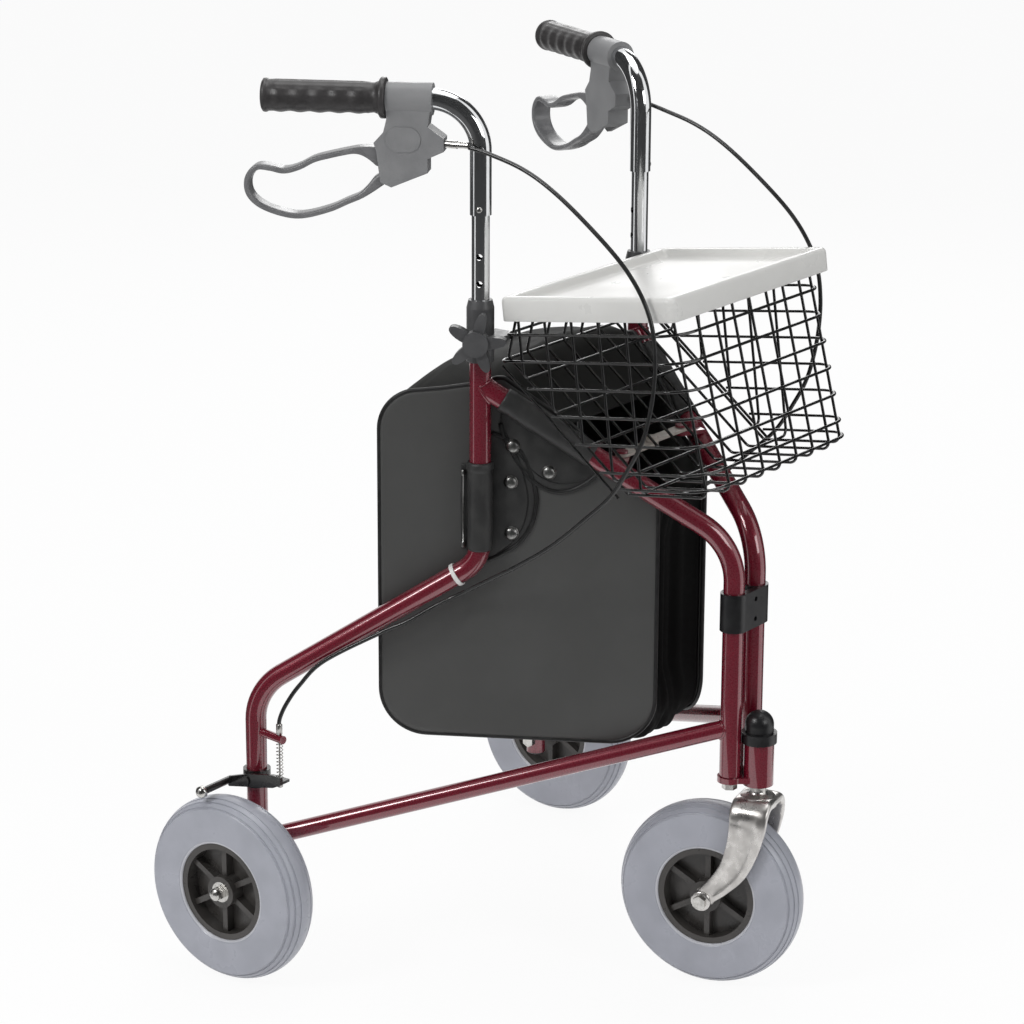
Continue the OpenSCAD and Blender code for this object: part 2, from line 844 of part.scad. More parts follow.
// Diagonal tube of a side: slopes from the upright, turns down as the hinge post, carries the lug
module diagonal_tube(right) color(red_paint) on_side(right) {
  rise = right ? 0 : link_t + link_step;
  side_plane() {
    difference() {
      union() {
        bent_bar(diag_path, diag_bends, tube_r);
        translate([lug_reach - lug_half, -lug_in, lug_z + rise]) cube([2 * lug_half, lug_in, lug_h]);
        translate([lug_reach, -lug_in, lug_z + rise]) cylinder(h = lug_h, r = lug_half);
      }
      bent_bar([diag_path[0], diag_path[1], [0, post_z + plug_h]], diag_bends, bore_r);
      translate([0, 0, post_z - cut]) cylinder(h = plug_h + 2 * cut, r = hinge_r + run_fit);
      translate([upright_reach, 0, slope_top]) cylinder(h = tube_top - slope_top, r = tube_r + weld_gap);
    }
    translate([lug_reach, -lug_in, lug_z + rise + lug_h - cut]) {
      cylinder(h = cut + seat + link_t + seat + rivet_t, r = link_pin_r);
      translate([0, 0, cut + seat + link_t + seat]) cylinder(h = rivet_t, r = rivet_r);
    }
  }
}

module lower_rail(right) color(red_paint) on_side(right) side_plane() {
  path = [[0, rail_front], [leg_reach, rail_rear]];
  far = unit(path[1] - path[0]) * cut;
  difference() {
    bent_bar(path, [0, 0], rail_r);
    bent_bar([path[0] - far, path[1] + far], [0, 0], rail_r - tube_wall);
    translate([0, 0, rail_front - tube_d]) cylinder(h = 2 * tube_d, r = tube_r + weld_gap);
    translate([leg_reach, 0, rail_rear - tube_d]) cylinder(h = 2 * tube_d, r = tube_r + weld_gap);
  }
}

// Tongue that carries the basket's top ring
ring_rear_place = basket_point(ring_rear(-ring_top), -ring_top);
tongue_top = ring_rear_place[1] - wire_d / 2 - seat;
tongue_len = ring_rear_place[0] + upright_reach * cos(splay) - seat;

module height_collar(right) color(dark_plastic) on_side(right) side_plane() translate([upright_reach, 0, 0])
  difference() {
    union() {
      translate([0, 0, collar_z]) cylinder(h = collar_h - collar_taper, r = collar_r);
      translate([0, 0, collar_top - collar_taper])
        cylinder(h = collar_taper, r1 = collar_r, r2 = collar_r - collar_taper / 4);
      translate([0, 0, knob_z]) along_y() cylinder(h = knob_boss_end, r = knob_boss_r);
      rotate([0, 0, 90 - splay])
        translate([-tongue_in, 0, tongue_top - tongue_h])
          cube([tongue_in + tongue_out, tongue_len, tongue_h]);
    }
    translate([0, 0, collar_z - cut]) cylinder(h = tube_in_collar + seat + cut, r = tube_r + weld_gap);
    translate([0, 0, collar_z]) cylinder(h = collar_h + cut, r = height_r + run_fit);
    translate([0, 0, knob_z]) along_y() cylinder(h = knob_boss_end + cut, r = stud_r + run_fit);
  }

// Star knob: lobes from a cosine, with a raised hub and a clamping stud
function lobe_r(a) =
  knob_waist + (knob_tip - knob_waist) * pow((1 + cos(knob_lobes * a)) / 2, knob_sharp);

module knob(right) color(dark_plastic) on_side(right) side_plane()
  translate([upright_reach, 0, knob_z]) along_y() {
    translate([0, 0, knob_boss_end + seat]) {
      rotate([0, 0, -knob_lobe_angle]) linear_extrude(knob_t)
        polygon([for (i = [0:knob_steps - 1])
          let (a = 360 * i / knob_steps) lobe_r(a) * [cos(a), sin(a)]]);
      cylinder(h = knob_hub_t, r = knob_hub_r);
    }
    translate([0, 0, height_r + seat]) cylinder(h = knob_boss_end - height_r, r = stud_r);
  }

// Handle tube: up from its lower end, then back through brake housing and grip
module handle_tube(right) color(chrome) on_side(right) side_plane() {
  path = [[upright_reach, step_z], [upright_reach, grip_z], [grip_end - grip_cap - seat, grip_z]];
  difference() {
    bent_bar(path, [0, handle_bend, 0], tube_r);
    bent_bar([path[0] - [0, cut], path[1], path[2] + [cut, 0]], [0, handle_bend, 0], handle_bore_r);
  }
}

module height_tube(right) color(chrome) on_side(right) side_plane() translate([upright_reach, 0, 0])
  difference() {
    translate([0, 0, collar_top - height_in]) cylinder(h = height_in + step_gap + height_up, r = height_r);
    translate([0, 0, collar_top - height_in - cut])
      cylinder(h = height_in + step_gap + height_up + 2 * cut, r = height_r - height_wall);
    for (k = height_holes)
      translate([0, -height_d, knob_z + k * hole_pitch]) along_y() cylinder(h = 2 * height_d, r = height_hole_r);
  }

// Grip: flange, neck, and a barrel with finger waves, closed at the rear
function grip_wave_r(s) = grip_r - grip_wave * (1 - cos(360 * grip_waves * s)) / 2;

module hand_grip(right) color(black_rubber) on_side(right) side_plane()
  translate([grip_start, 0, grip_z]) along_x() difference() {
    barrel = grip_len - grip_neck - grip_edge;
    steps = grip_waves * wave_steps;
    rotate_extrude() polygon(concat(
      [[0, 0], [grip_flange_r, 0], [grip_flange_r, grip_flange_t], [grip_r, grip_neck]],
      [for (i = [1:steps]) [grip_wave_r(i / steps), grip_neck + barrel * i / steps]],
      [[grip_r - grip_edge, grip_len], [0, grip_len]]
    ));
    translate([0, 0, -cut]) cylinder(h = grip_len - grip_cap + cut, r = tube_r + weld_gap);
  }

// Brake housing: a sleeve on the handle, and a body that holds lever pivot and cable nose
module brake_housing(right) color(dark_plastic) on_side(right) side_plane() {
  difference() {
    union() {
      translate([housing_start, 0, grip_z]) along_x() cylinder(h = brake_len, r = housing_r);
      translate([housing_start, body_half, grip_z])
        rotate([90, 0, 0]) linear_extrude(2 * body_half)
          polygon([for (s = housing_shares) [s[0] * brake_len, s[1] * brake_h]]);
      translate([housing_start + badge_shares[0] * brake_len, 0, grip_z + badge_shares[1] * brake_h])
        along_y() linear_extrude(body_half + badge_t) {
          for (s = [-1, 1])
            translate([s * badge_half, 0]) circle(badge_r);
          translate([-badge_half, -badge_r]) square([2 * badge_half, 2 * badge_r]);
        }
    }
    translate([housing_start - cut, 0, grip_z])
      along_x() cylinder(h = brake_len + 2 * cut, r = tube_r + weld_gap);
    translate([lever_pivot[0] - slot_front, -slot_half, lever_pivot[1] - slot_low])
      cube([brake_len, 2 * slot_half, slot_low + slot_high]);
  }
  translate([lever_pivot[0], -body_half, lever_pivot[1]])
    along_y() cylinder(h = 2 * body_half, r = pivot_r);
}

module cable_adjuster(right) color(chrome) on_side(right) side_plane()
  translate([housing_start + adjuster_shares[0] * brake_len, adjuster_out, grip_z + adjuster_shares[1] * brake_h])
    rotate([0, 0, -adjuster_turn]) rotate([0, -90, 0]) {
      cylinder(h = barrel_len, r = barrel_r);
      translate([0, 0, barrel_len]) cylinder(h = ferrule_len, r = ferrule_r);
    }

// Lever: a wide finger loop on a narrow root that turns on the housing's pivot
module brake_lever(right) color(dark_plastic) on_side(right) side_plane()
  translate([lever_pivot[0], 0, lever_pivot[1]]) rotate([90, 0, 0]) difference() {
    loop = [for (s = loop_shares) s * lever_len];
    union() {
      translate([0, 0, -lever_w / 2]) linear_extrude(lever_w) polygon(strip(spline(loop, loop_steps), loop_t));
      translate([0, 0, -root_half]) linear_extrude(2 * root_half) {
        circle(pivot_boss_r);
        polygon(strip([[0, 0], loop[0]], root_t));
        polygon(strip([[0, 0], loop[len(loop) - 1]], root_t));
      }
    }
    translate([0, 0, -lever_w]) cylinder(h = 2 * lever_w, r = pivot_r + run_fit);
  }

// Rear axle: bolt through the leg, spacer, and a domed nut outside the wheel
module rear_axle(right) color(chrome) on_side(right) at_leg() translate([0, 0, wheel_r]) {
  outer = wheel_offset + boss_w / 2 + seat;
  translate([-tube_r - seat - head_t, 0, 0]) along_x() {
    hex(head_r, head_t);
    cylinder(h = tube_r + seat + head_t + outer + nut_t / 2, r = axle_r);
  }
  translate([tube_r + seat, 0, 0])
    along_x() cylinder(h = wheel_offset - boss_w / 2 - tube_r - 2 * seat, r = spacer_r);
  translate([outer, 0, 0]) along_x() {
    hex(head_r, nut_t);
    intersection() {
      translate([0, 0, nut_t / 2]) sphere(nut_cap_r);
      cylinder(h = nut_t / 2 + nut_cap_r, r = head_r * cos(30));
    }
  }
}

module wheel_tyre(right) color(grey_rubber) on_side(right) at_rear_wheel() tyre();
module wheel_hub(right) color(black_plastic) on_side(right) at_rear_wheel() hub();
module wheel_bearings(right) color(chrome) on_side(right) at_rear_wheel() bearing_pair();

// Brake at the leg: clamp with pivot pin, and the arm with its bar and pull tab
module brake_clamp(right) color(black_plastic) on_side(right) at_leg() translate([0, 0, brake_z]) {
  difference() {
    union() {
      translate([0, 0, -clamp_h / 2]) cylinder(h = clamp_h, r = tube_r + clamp_t);
      along_x() cylinder(h = arm_x + arm_t + seat + pin_head_t, r = brake_pin_r);
    }
    translate([0, 0, -clamp_h]) cylinder(h = 2 * clamp_h, r = tube_r + weld_gap);
  }
  translate([arm_x + arm_t + seat, 0, 0]) along_x() cylinder(h = pin_head_t, r = pin_head_r);
}

shoe_drop = shoe_reach * arm_slope;
shoe_len = wheel_offset + tyre_w / 2 - arm_x;

module brake_arm(right) color(black_plastic) on_side(right) at_leg() translate([0, 0, brake_z]) {
  tail = pull_reach + arm_tail;
  difference() {
    union() {
      translate([arm_x, 0, 0]) rotate([90, 0, 90]) linear_extrude(arm_t) polygon([
        [-shoe_reach - arm_tip_half, -shoe_drop], [-shoe_reach, -shoe_drop - arm_half],
        [0, -arm_half], [pull_reach, 0], [tail, tail * arm_slope - arm_tip_half],
        [tail, tail * arm_slope + arm_tip_half], [pull_reach, pull_reach * arm_slope + arm_half],
        [0, arm_half], [-shoe_reach, arm_tip_half - shoe_drop]
      ]);
      translate([pull_x - tab_w / 2, pull_reach - tab_w / 2, tab_z - brake_z])
        cube([arm_x + arm_t - pull_x + tab_w / 2, tab_w, tab_t]);
      translate([arm_x, -shoe_reach, -shoe_drop]) along_x() cylinder(h = shoe_len, r = shoe_d / 2);
    }
    along_x() cylinder(h = 2 * arm_x, r = brake_pin_r + run_fit);
    translate([pull_x, pull_reach, tab_z - brake_z - cut]) cylinder(h = tab_t + 2 * cut, r = tab_hole_r);
  }
}

// Return spring: one helix between stop peg and pull tab, with straight ends
spring_low = tab_z + tab_t + seat;
spring_high = peg_z - peg_r - seat;
spring_lead = 2 * spring_wire_r;
spring_span = spring_high - spring_low - 2 * spring_lead;
spring_steps = spring_turns * spring_rings;
spring_coil = [
  for (i = [0:spring_steps])
    let (a = 360 * i / spring_rings)
    [spring_r * cos(a), spring_r * sin(a), spring_lead + spring_span * i / spring_steps]
];
spring_path = concat(
  [[spring_r, 0, 0]],
  spring_coil,
  [[spring_r, 0, spring_high - spring_low]]
);
spring_gap = min([
  for (i = [0:spring_steps - spring_rings / 2])
    for (k = [i + spring_rings / 2:min(i + 3 * spring_rings / 2, spring_steps)])
      norm(spring_coil[k] - spring_coil[i])
]) - 2 * spring_wire_r;
echo(str("least gap between the brake spring's turns, mm: ", spring_gap));

module brake_spring(right) color(chrome) on_side(right) at_leg()
  translate([pull_x, pull_reach, spring_low]) {
    swept_tube(spring_path, spring_wire_r, spring_sides, spring_side);
    for (z = [0, spring_high - spring_low - spring_lead])
      translate([spring_r, 0, z]) cylinder(h = spring_lead, r = spring_wire_r);
  }

// Brake cable: outer casing along its route, ferrule on the stop, inner wire and its end nipple
module brake_cable(right) color(black_rubber) on_side(right) {
  swept_tube(spline(cable_route, cable_steps), cable_d / 2, cable_sides, cable_side);
  at_leg() translate([pull_x, pull_reach, 0]) {
    translate([0, 0, peg_z + peg_r + seat]) cylinder(h = ferrule_len, r = ferrule_r);
    translate([0, 0, tab_z - seat - nipple_h])
      cylinder(h = peg_z + peg_r + 2 * seat + nipple_h - tab_z, r = wire_r);
    translate([0, 0, tab_z - seat - nipple_h]) cylinder(h = nipple_h, r = nipple_r);
  }
}

// Folding brace link: pivots on its lug and laps the other link in the middle
module brace_link(right) color(zinc) on_side(right) {
  rise = right ? 0 : link_t + link_step;
  y = -lug_reach * cos(splay) - lug_in * sin(splay);
  translate([0, y, link_z + rise]) {
    linear_extrude(link_t) difference() {
      union() {
        for (x = [0, lug_x])
          translate([x, 0]) circle(link_half);
        translate([0, -link_half]) square([lug_x, 2 * link_half]);
      }
      translate([lug_x, 0]) circle(link_pin_r + run_fit);
      if (right) circle(link_pin_r);
    }
    if (!right) translate([0, 0, link_t]) cylinder(h = rivet_t, r = rivet_r);
  }
}

// Bag: stiff side panel, cloth gusset between the panels, sleeves on the tubes and snaps
bag_slack = [
  bag_peak[0] + bag_slack_shares[0] * (bag_rear - bag_corner_high - bag_peak[0]),
  bag_rear_top + bag_slack_shares[1] * (bag_peak[1] - bag_rear_top)
];
panel_outline = concat(
  arc([bag_front + bag_corner_low, bag_low + bag_corner_low], bag_corner_low, 180, 270, arc_steps),
  arc([bag_rear - bag_corner_low, bag_low + bag_corner_low], bag_corner_low, 270, 360, arc_steps),
  arc([bag_rear - bag_corner_high, bag_rear_top - bag_corner_high], bag_corner_high, 0, 90, arc_steps),
  [
    bag_slack,
    bag_peak,
    [bag_step, diag_z(bag_step) + bag_step_rise],
    [bag_step, lug_z - seat - link_t],
    [bag_front, diag_z(bag_front)]
  ]
);

module bag_panel(right) color(grey_vinyl) on_side(right) side_plane()
  translate([0, -panel_out, 0]) rotate([90, 0, 0]) linear_extrude(panel_t) polygon(panel_outline);

// Point on the inside of the right panel, seen from above
function inside(d) =
  [post_x + d * sin(splay) - (panel_in + seat) * cos(splay), -d * cos(splay) - (panel_in + seat) * sin(splay)];

module gusset_wall(from, to, low, high) {
  a = inside(from);
  b = inside(to);
  translate([0, 0, low]) linear_extrude(high - low)
    polygon([a, b, [-b[0], b[1]], [-a[0], a[1]]]);
}

module bag_gusset() color(black_cloth) in_place() {
  floor_z = bag_low + gusset_rise;
  gusset_wall(bag_front + bag_wall, bag_rear - bag_wall, floor_z, floor_z + bag_wall);
  gusset_wall(bag_front + bag_wall, bag_front + 2 * bag_wall, floor_z, diag_z(bag_front) - gusset_front_drop);
  gusset_wall(bag_rear - 2 * bag_wall, bag_rear - bag_wall, floor_z, bag_rear_top - gusset_rear_drop);
}

sleeve_z = slope_top + sleeve_rise;
sleeve_len = (diag_top - sleeve_z) * sleeve_len_share;
flap_h = (diag_top - sleeve_z) * flap_h_share;
flap_z = sleeve_z - flap_low + sleeve_rise / 2;
wrap_len = (wrap_to - wrap_from) / cos(atan2(diag_top - diag_low, upright_reach));
flap_y = seat - panel_out;

module bag_straps(right) color(grey_vinyl) on_side(right) side_plane() {
  translate([upright_reach, 0, sleeve_z]) ring(tube_r + seat + sleeve_t, tube_r + seat, sleeve_len);
  translate([wrap_from, 0, diag_z(wrap_from)])
    rotate([0, atan2(upright_reach, diag_top - diag_low), 0])
      ring(tube_r + seat + sleeve_t, tube_r + seat, wrap_len);
  translate([0, flap_y + flap_t, 0]) rotate([90, 0, 0]) linear_extrude(flap_t) {
    translate([upright_reach - flap_front, flap_z]) square([flap_front - flap_back, flap_h]);
    polygon([
      [flap_from, diag_z(flap_from) - tube_r], [flap_from, diag_z(flap_from) - wrap_drop],
      [upright_reach - flap_front + cut, diag_z(flap_from) - wrap_drop],
      [upright_reach - flap_front + cut, diag_z(flap_from) - tube_r]
    ]);
  }
}

module bag_snaps(right) color(chrome) on_side(right) side_plane() translate([0, flap_y + flap_t + seat, 0]) {
  for (s = snap_shares)
    translate([upright_reach - flap_front + s[0] * flap_front, 0, flap_z + s[1] * flap_h])
      along_y() cylinder(h = snap_t, r1 = snap_r, r2 = snap_tip_r);
  translate([(flap_from + upright_reach - flap_front) / 2, 0, diag_z(flap_from) - wrap_drop * wrap_snap_share])
    along_y() cylinder(h = snap_t, r1 = snap_r, r2 = snap_tip_r);
  translate([upright_reach + rod_back, rod_r - flap_t - seat, sleeve_z]) cylinder(h = rod_len, r = rod_r);
}

// Basket: places in its own tilted frame
module in_basket() {
  in_place() translate([0, tray_y, tray_z]) rotate([basket_tilt, 0, 0]) children();
}

function basket_point(y, z) = [
  tray_y + y * cos(basket_tilt) - z * sin(basket_tilt),
  tray_z + y * sin(basket_tilt) + z * cos(basket_tilt)
];

// The basket's front leans out, and its rear leans back to the slanted floor
function down_share(z) = (rim_w_z - z) / (basket_depth + rim_w_z);
function snap(v) = round(v / grid) * grid;
function ring_front(z) = snap(rim_front + front_lean * down_share(z));
function ring_rear(z) = snap(rim_rear - rear_lean * min(1, (rim_w_z - z) / (slant_from + rim_w_z)));
function slant_y(z) =
  ring_rear(-slant_from) + (slant_floor - ring_rear(-slant_from)) * (-slant_from - z) / (basket_depth - slant_from);
function slant_z(y) =
  -slant_from - (basket_depth - slant_from) * (y - ring_rear(-slant_from)) / (slant_floor - ring_rear(-slant_from));

// Front of an upright wire: follows the inside of the rounded corner
function wire_front(x, z) =
  let (
    r = ring_corner - layer,
    past = max(0, abs(x) - ring_half + ring_corner)
  )
  ring_front(z) - ring_corner + sqrt(max(0, r * r - past * past));

module flat_ring(z, r, corner) {
  half = ring_half;
  rear = ring_rear(z);
  front = ring_front(z);
  translate([0, 0, z]) rotate([-90, 0, 0]) bent_bar(
    [[0, rear], [half, rear], [half, front], [-half, front], [-half, rear], [0, rear]],
    [0, ring_rear_corner, corner, corner, ring_rear_corner, 0], r
  );
}

module open_ring(z) {
  half = ring_half;
  rear = snap(slant_y(z) + 2 * wire_d);
  front = ring_front(z);
  translate([0, 0, z]) rotate([-90, 0, 0]) bent_bar(
    [[half, rear], [half, front], [-half, front], [-half, rear]],
    [0, ring_corner, ring_corner, 0], rod_r_basket
  );
}

// Upright wire: down the front, along the floor, up the slant and up the rear
module long_wire(x) {
  low = -basket_depth + layer;
  top = rim_w_z - rim_r - seat;
  slant_in = layer / sin(atan2(slant_floor - ring_rear(-slant_from), basket_depth - slant_from));
  translate([x, 0, 0]) rotate([0, 0, 90]) bent_bar(
    [
      [wire_front(x, top), top], [wire_front(x, low), low],
      [slant_floor + layer, low],
      [ring_rear(-slant_from) + layer, -slant_from + slant_in / 2],
      [ring_rear(top) + layer, top]
    ],
    [0, wire_bend, wire_bend, wire_bend, 0], rod_r_basket
  );
}

// Cross wire: down one side, across the floor or the slant, up the other side
module cross_wire(y) {
  top = rim_w_z - rim_r - seat;
  low = snap(max(-basket_depth, slant_z(y)) + 2 * layer + (y < slant_floor ? layer : 0));
  half = ring_half - layer;
  translate([0, y, 0]) bent_bar(
    [[half, top], [half, low], [-half, low], [-half, top]],
    [0, wire_bend, wire_bend, 0], rod_r_basket
  );
}

// Edge wire along each side of the slant
module slant_edge(s) {
  line = [slant_floor, -basket_depth] - [ring_rear(-slant_from), -slant_from];
  start = [ring_rear(-slant_from), -slant_from] + unit(line) * 2 * wire_d;
  end = [slant_floor, -basket_depth] + [wire_d / 2, 0] - unit(line) * wire_d;
  translate([s * ring_half, 0, 0]) rotate([0, 0, 90]) bent_bar([start, end], [0, 0], rod_r_basket);
}

module basket_frame() color(black_plastic) in_basket() {
  translate([0, 0, rim_w_z]) rotate([-90, 0, 0]) bent_bar(
    [
      [0, rim_rear], [rim_half, rim_rear], [rim_half, rim_front],
      [-rim_half, rim_front], [-rim_half, rim_rear], [0, rim_rear]
    ],
    [0, rim_corner, rim_corner, rim_corner, rim_corner, 0], rim_r
  );
  for (i = [0:full_rings - 1]) flat_ring(-ring_top - i * ring_pitch, rod_r_basket, ring_corner);
  for (i = [full_rings:ring_count - 1]) open_ring(max(-ring_top - i * ring_pitch, lowest_ring));
  for (i = [-upright_wires:upright_wires]) long_wire(i * wire_pitch);
  for (i = [0:cross_count - 1]) cross_wire(cross_first + i * wire_pitch);
  for (s = [-1, 1]) slant_edge(s);
}

// Tray: a dished lid with a skirt that drops over the basket's rim
module rounded_plate(w, l, inset, h) {
  r = max(tray_corner - inset, tray_wall);
  translate([-w / 2 + inset, inset, 0]) linear_extrude(h) {
    for (x = [r, w - 2 * inset - r])
      for (y = [r, l - 2 * inset - r])
        translate([x, y]) circle(r);
    translate([r, 0]) square([w - 2 * inset - 2 * r, l - 2 * inset]);
    translate([0, r]) square([w - 2 * inset, l - 2 * inset - 2 * r]);
  }
}

module basket_tray() color(white_plastic) in_basket() difference() {
  translate([0, 0, -tray_h]) rounded_plate(tray_w, tray_l, 0, tray_h);
  translate([0, 0, -tray_dish]) rounded_plate(tray_w, tray_l, tray_lip, tray_dish + cut);
  translate([0, 0, -tray_h - cut])
    rounded_plate(tray_w, tray_l, tray_wall, tray_h + cut - tray_dish - tray_floor);
}

head_tube();
head_cap();
hinge_strap();
hinge_bolts();
head_bearings();
bag_gusset();
caster_stem();
caster_fork();
front_axle();
front_tyre();
front_hub();
front_bearings();
basket_frame();
basket_tray();
main_tube(true);  // right_main_tube
diagonal_tube(true);  // right_diagonal_tube
lower_rail(true);  // right_lower_rail
height_collar(true);  // right_height_collar
brake_clamp(true);  // right_brake_clamp
rear_axle(true);  // right_rear_axle
bag_panel(true);  // right_bag_panel
bag_straps(true);  // right_bag_straps
bag_snaps(true);  // right_bag_snaps
brake_cable(true);  // right_brake_cable
knob(true);  // right_knob
handle_tube(true);  // right_handle_tube
height_tube(true);  // right_height_tube
hand_grip(true);  // right_hand_grip
brake_housing(true);  // right_brake_housing
cable_adjuster(true);  // right_cable_adjuster
brake_lever(true);  // right_brake_lever
brake_arm(true);  // right_brake_arm
brake_spring(true);  // right_brake_spring
wheel_tyre(true);  // right_tyre
wheel_hub(true);  // right_hub
wheel_bearings(true);  // right_bearings
brace_link(true);  // right_brace_link
main_tube(false);  // left_main_tube
diagonal_tube(false);  // left_diagonal_tube
lower_rail(false);  // left_lower_rail
height_collar(false);  // left_height_collar
brake_clamp(false);  // left_brake_clamp
rear_axle(false);  // left_rear_axle
bag_panel(false);  // left_bag_panel
bag_straps(false);  // left_bag_straps
bag_snaps(false);  // left_bag_snaps
brake_cable(false);  // left_brake_cable
knob(false);  // left_knob
handle_tube(false);  // left_handle_tube
height_tube(false);  // left_height_tube
hand_grip(false);  // left_hand_grip
brake_housing(false);  // left_brake_housing
cable_adjuster(false);  // left_cable_adjuster
brake_lever(false);  // left_brake_lever
brake_arm(false);  // left_brake_arm
brake_spring(false);  // left_brake_spring
wheel_tyre(false);  // left_tyre
wheel_hub(false);  // left_hub
wheel_bearings(false);  // left_bearings
brace_link(false);  // left_brace_link
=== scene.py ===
import bmesh
import bpy
import numpy as np
from mathutils import Matrix, Vector


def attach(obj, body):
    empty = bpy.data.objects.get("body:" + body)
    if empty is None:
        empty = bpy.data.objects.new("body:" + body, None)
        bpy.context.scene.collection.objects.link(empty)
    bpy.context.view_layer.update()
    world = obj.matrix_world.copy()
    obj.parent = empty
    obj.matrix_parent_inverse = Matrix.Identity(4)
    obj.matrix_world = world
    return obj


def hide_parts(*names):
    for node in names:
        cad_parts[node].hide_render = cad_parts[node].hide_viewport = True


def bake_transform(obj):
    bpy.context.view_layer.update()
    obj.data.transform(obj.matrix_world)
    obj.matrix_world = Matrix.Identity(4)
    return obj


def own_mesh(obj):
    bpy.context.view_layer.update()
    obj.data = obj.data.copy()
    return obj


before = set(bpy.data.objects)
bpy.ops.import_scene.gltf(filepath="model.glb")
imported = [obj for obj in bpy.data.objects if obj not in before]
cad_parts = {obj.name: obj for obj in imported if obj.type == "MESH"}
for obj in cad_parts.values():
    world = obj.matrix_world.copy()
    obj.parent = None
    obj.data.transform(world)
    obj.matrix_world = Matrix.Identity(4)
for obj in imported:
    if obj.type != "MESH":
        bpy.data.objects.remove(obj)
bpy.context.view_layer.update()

# Studio. The walker stands on a white floor under soft boxes, and the camera is where the
# photographer stood, to its front right; dark drapes round it are there for gloss to mirror.
scene = bpy.context.scene
scene.view_settings.view_transform = "Standard"
lens = bpy.data.cameras.new("photo_camera")
lens.lens = 118.62
lens.sensor_width = 36
camera = bpy.data.objects.new("photo_camera", lens)
scene.collection.objects.link(camera)
camera.matrix_world = Matrix(
    (
        (-0.58089, -0.23051, 0.78066, 2.80250),
        (0.81397, -0.16926, 0.55570, 1.93543),
        (0.00405, 0.95824, 0.28595, 1.49040),
        (0, 0, 0, 1),
    )
)
scene.camera = camera


def soft_box(name, place, aim, size, power):
    """A square area lamp at place, turned so that its face looks at aim."""
    lamp = bpy.data.lights.new(name, "AREA")
    lamp.size = size
    lamp.energy = power
    box = bpy.data.objects.new(name, lamp)
    box.location = place
    turn = Vector(aim) - Vector(place)
    box.rotation_euler = turn.to_track_quat("-Z", "Y").to_euler()
    scene.collection.objects.link(box)


soft_box("key_box", (2.9, -0.9, 2.6), (0, 0, 0.5), 1.0, 45)
soft_box("fill_box", (0.4, 3.2, 1.9), (0, 0, 0.5), 1.4, 24)
soft_box("top_box", (-0.4, -0.2, 3.4), (0, 0, 0.4), 2.0, 28)
soft_box("back_box", (-2.8, -1.6, 2.0), (0, 0, 0.5), 1.6, 24)


def seen_directly(nodes, links):
    """1 for camera, glossy and transmission rays, 0 for the rays that carry light to the piece."""
    path = nodes.new("ShaderNodeLightPath")
    first = nodes.new("ShaderNodeMath")
    both = nodes.new("ShaderNodeMath")
    first.operation = both.operation = "ADD"
    both.use_clamp = True
    links.new(path.outputs["Is Camera Ray"], first.inputs[0])
    links.new(path.outputs["Is Glossy Ray"], first.inputs[1])
    links.new(first.outputs[0], both.inputs[0])
    links.new(path.outputs["Is Transmission Ray"], both.inputs[1])
    return both.outputs[0]


world = bpy.data.worlds.new("white_studio")
scene.world = world
world.use_nodes = True
nodes, links = world.node_tree.nodes, world.node_tree.links
shown = nodes["Background"]
shown.inputs["Color"].default_value = (1, 1, 1, 1)
lit = nodes.new("ShaderNodeBackground")
lit.inputs["Color"].default_value = (0.97, 0.98, 1, 1)
lit.inputs["Strength"].default_value = 0.42
mix = nodes.new("ShaderNodeMixShader")
links.new(seen_directly(nodes, links), mix.inputs[0])
links.new(lit.outputs[0], mix.inputs[1])
links.new(shown.outputs[0], mix.inputs[2])
links.new(mix.outputs[0], nodes["World Output"].inputs["Surface"])

floor_half = 14.0
floor_mesh = bpy.data.meshes.new("floor")
corners = floor_half * np.array([(-1, -1, 0), (1, -1, 0), (1, 1, 0), (-1, 1, 0)])
floor_mesh.from_pydata(corners.tolist(), [], [(0, 1, 2, 3)])
floor = bpy.data.objects.new("floor", floor_mesh)
scene.collection.objects.link(floor)
paper = bpy.data.materials.new("white_paper")
paper.use_nodes = True
nodes, links = paper.node_tree.nodes, paper.node_tree.links
nodes["Principled BSDF"].inputs["Base Color"].default_value = (0.9, 0.9, 0.9, 1)
nodes["Principled BSDF"].inputs["Roughness"].default_value = 0.9
glow = nodes.new("ShaderNodeEmission")
mix = nodes.new("ShaderNodeMixShader")
part = nodes.new("ShaderNodeMath")
part.operation = "MULTIPLY"
part.inputs[1].default_value = 0.93
links.new(seen_directly(nodes, links), part.inputs[0])
links.new(part.outputs[0], mix.inputs[0])
links.new(nodes["Principled BSDF"].outputs[0], mix.inputs[1])
links.new(glow.outputs[0], mix.inputs[2])
links.new(mix.outputs[0], nodes["Material Output"].inputs["Surface"])
floor_mesh.materials.append(paper)

card_mesh = bpy.data.meshes.new("dark_room")
drape_edge = np.array(((0.75, 0.003), (5.3, 0.003), (5.5, 0.3), (5.5, 4.2), (1.6, 4.4)))
drape_points, drape_quads = [], []
steps, levels = 25, len(drape_edge)
for low, high in ((-105, -44), (-33, 98), (138, 212)):
    turn = np.radians(np.linspace(low, high, steps))[:, None]
    reach, rise = drape_edge[:, 0], drape_edge[:, 1] + 0 * turn
    sector = np.stack((reach * np.cos(turn), reach * np.sin(turn), rise), axis=-1)
    i, j = np.meshgrid(np.arange(steps - 1), np.arange(levels - 1), indexing="ij")
    at = levels * i + j + steps * levels * len(drape_points)
    drape_quads.append(np.stack((at, at + 1, at + levels + 1, at + levels), axis=-1).reshape(-1, 4))
    drape_points.append(sector.reshape(-1, 3))
card_mesh.from_pydata(np.concatenate(drape_points).tolist(), [], np.concatenate(drape_quads).tolist())
card = bpy.data.objects.new("dark_room", card_mesh)
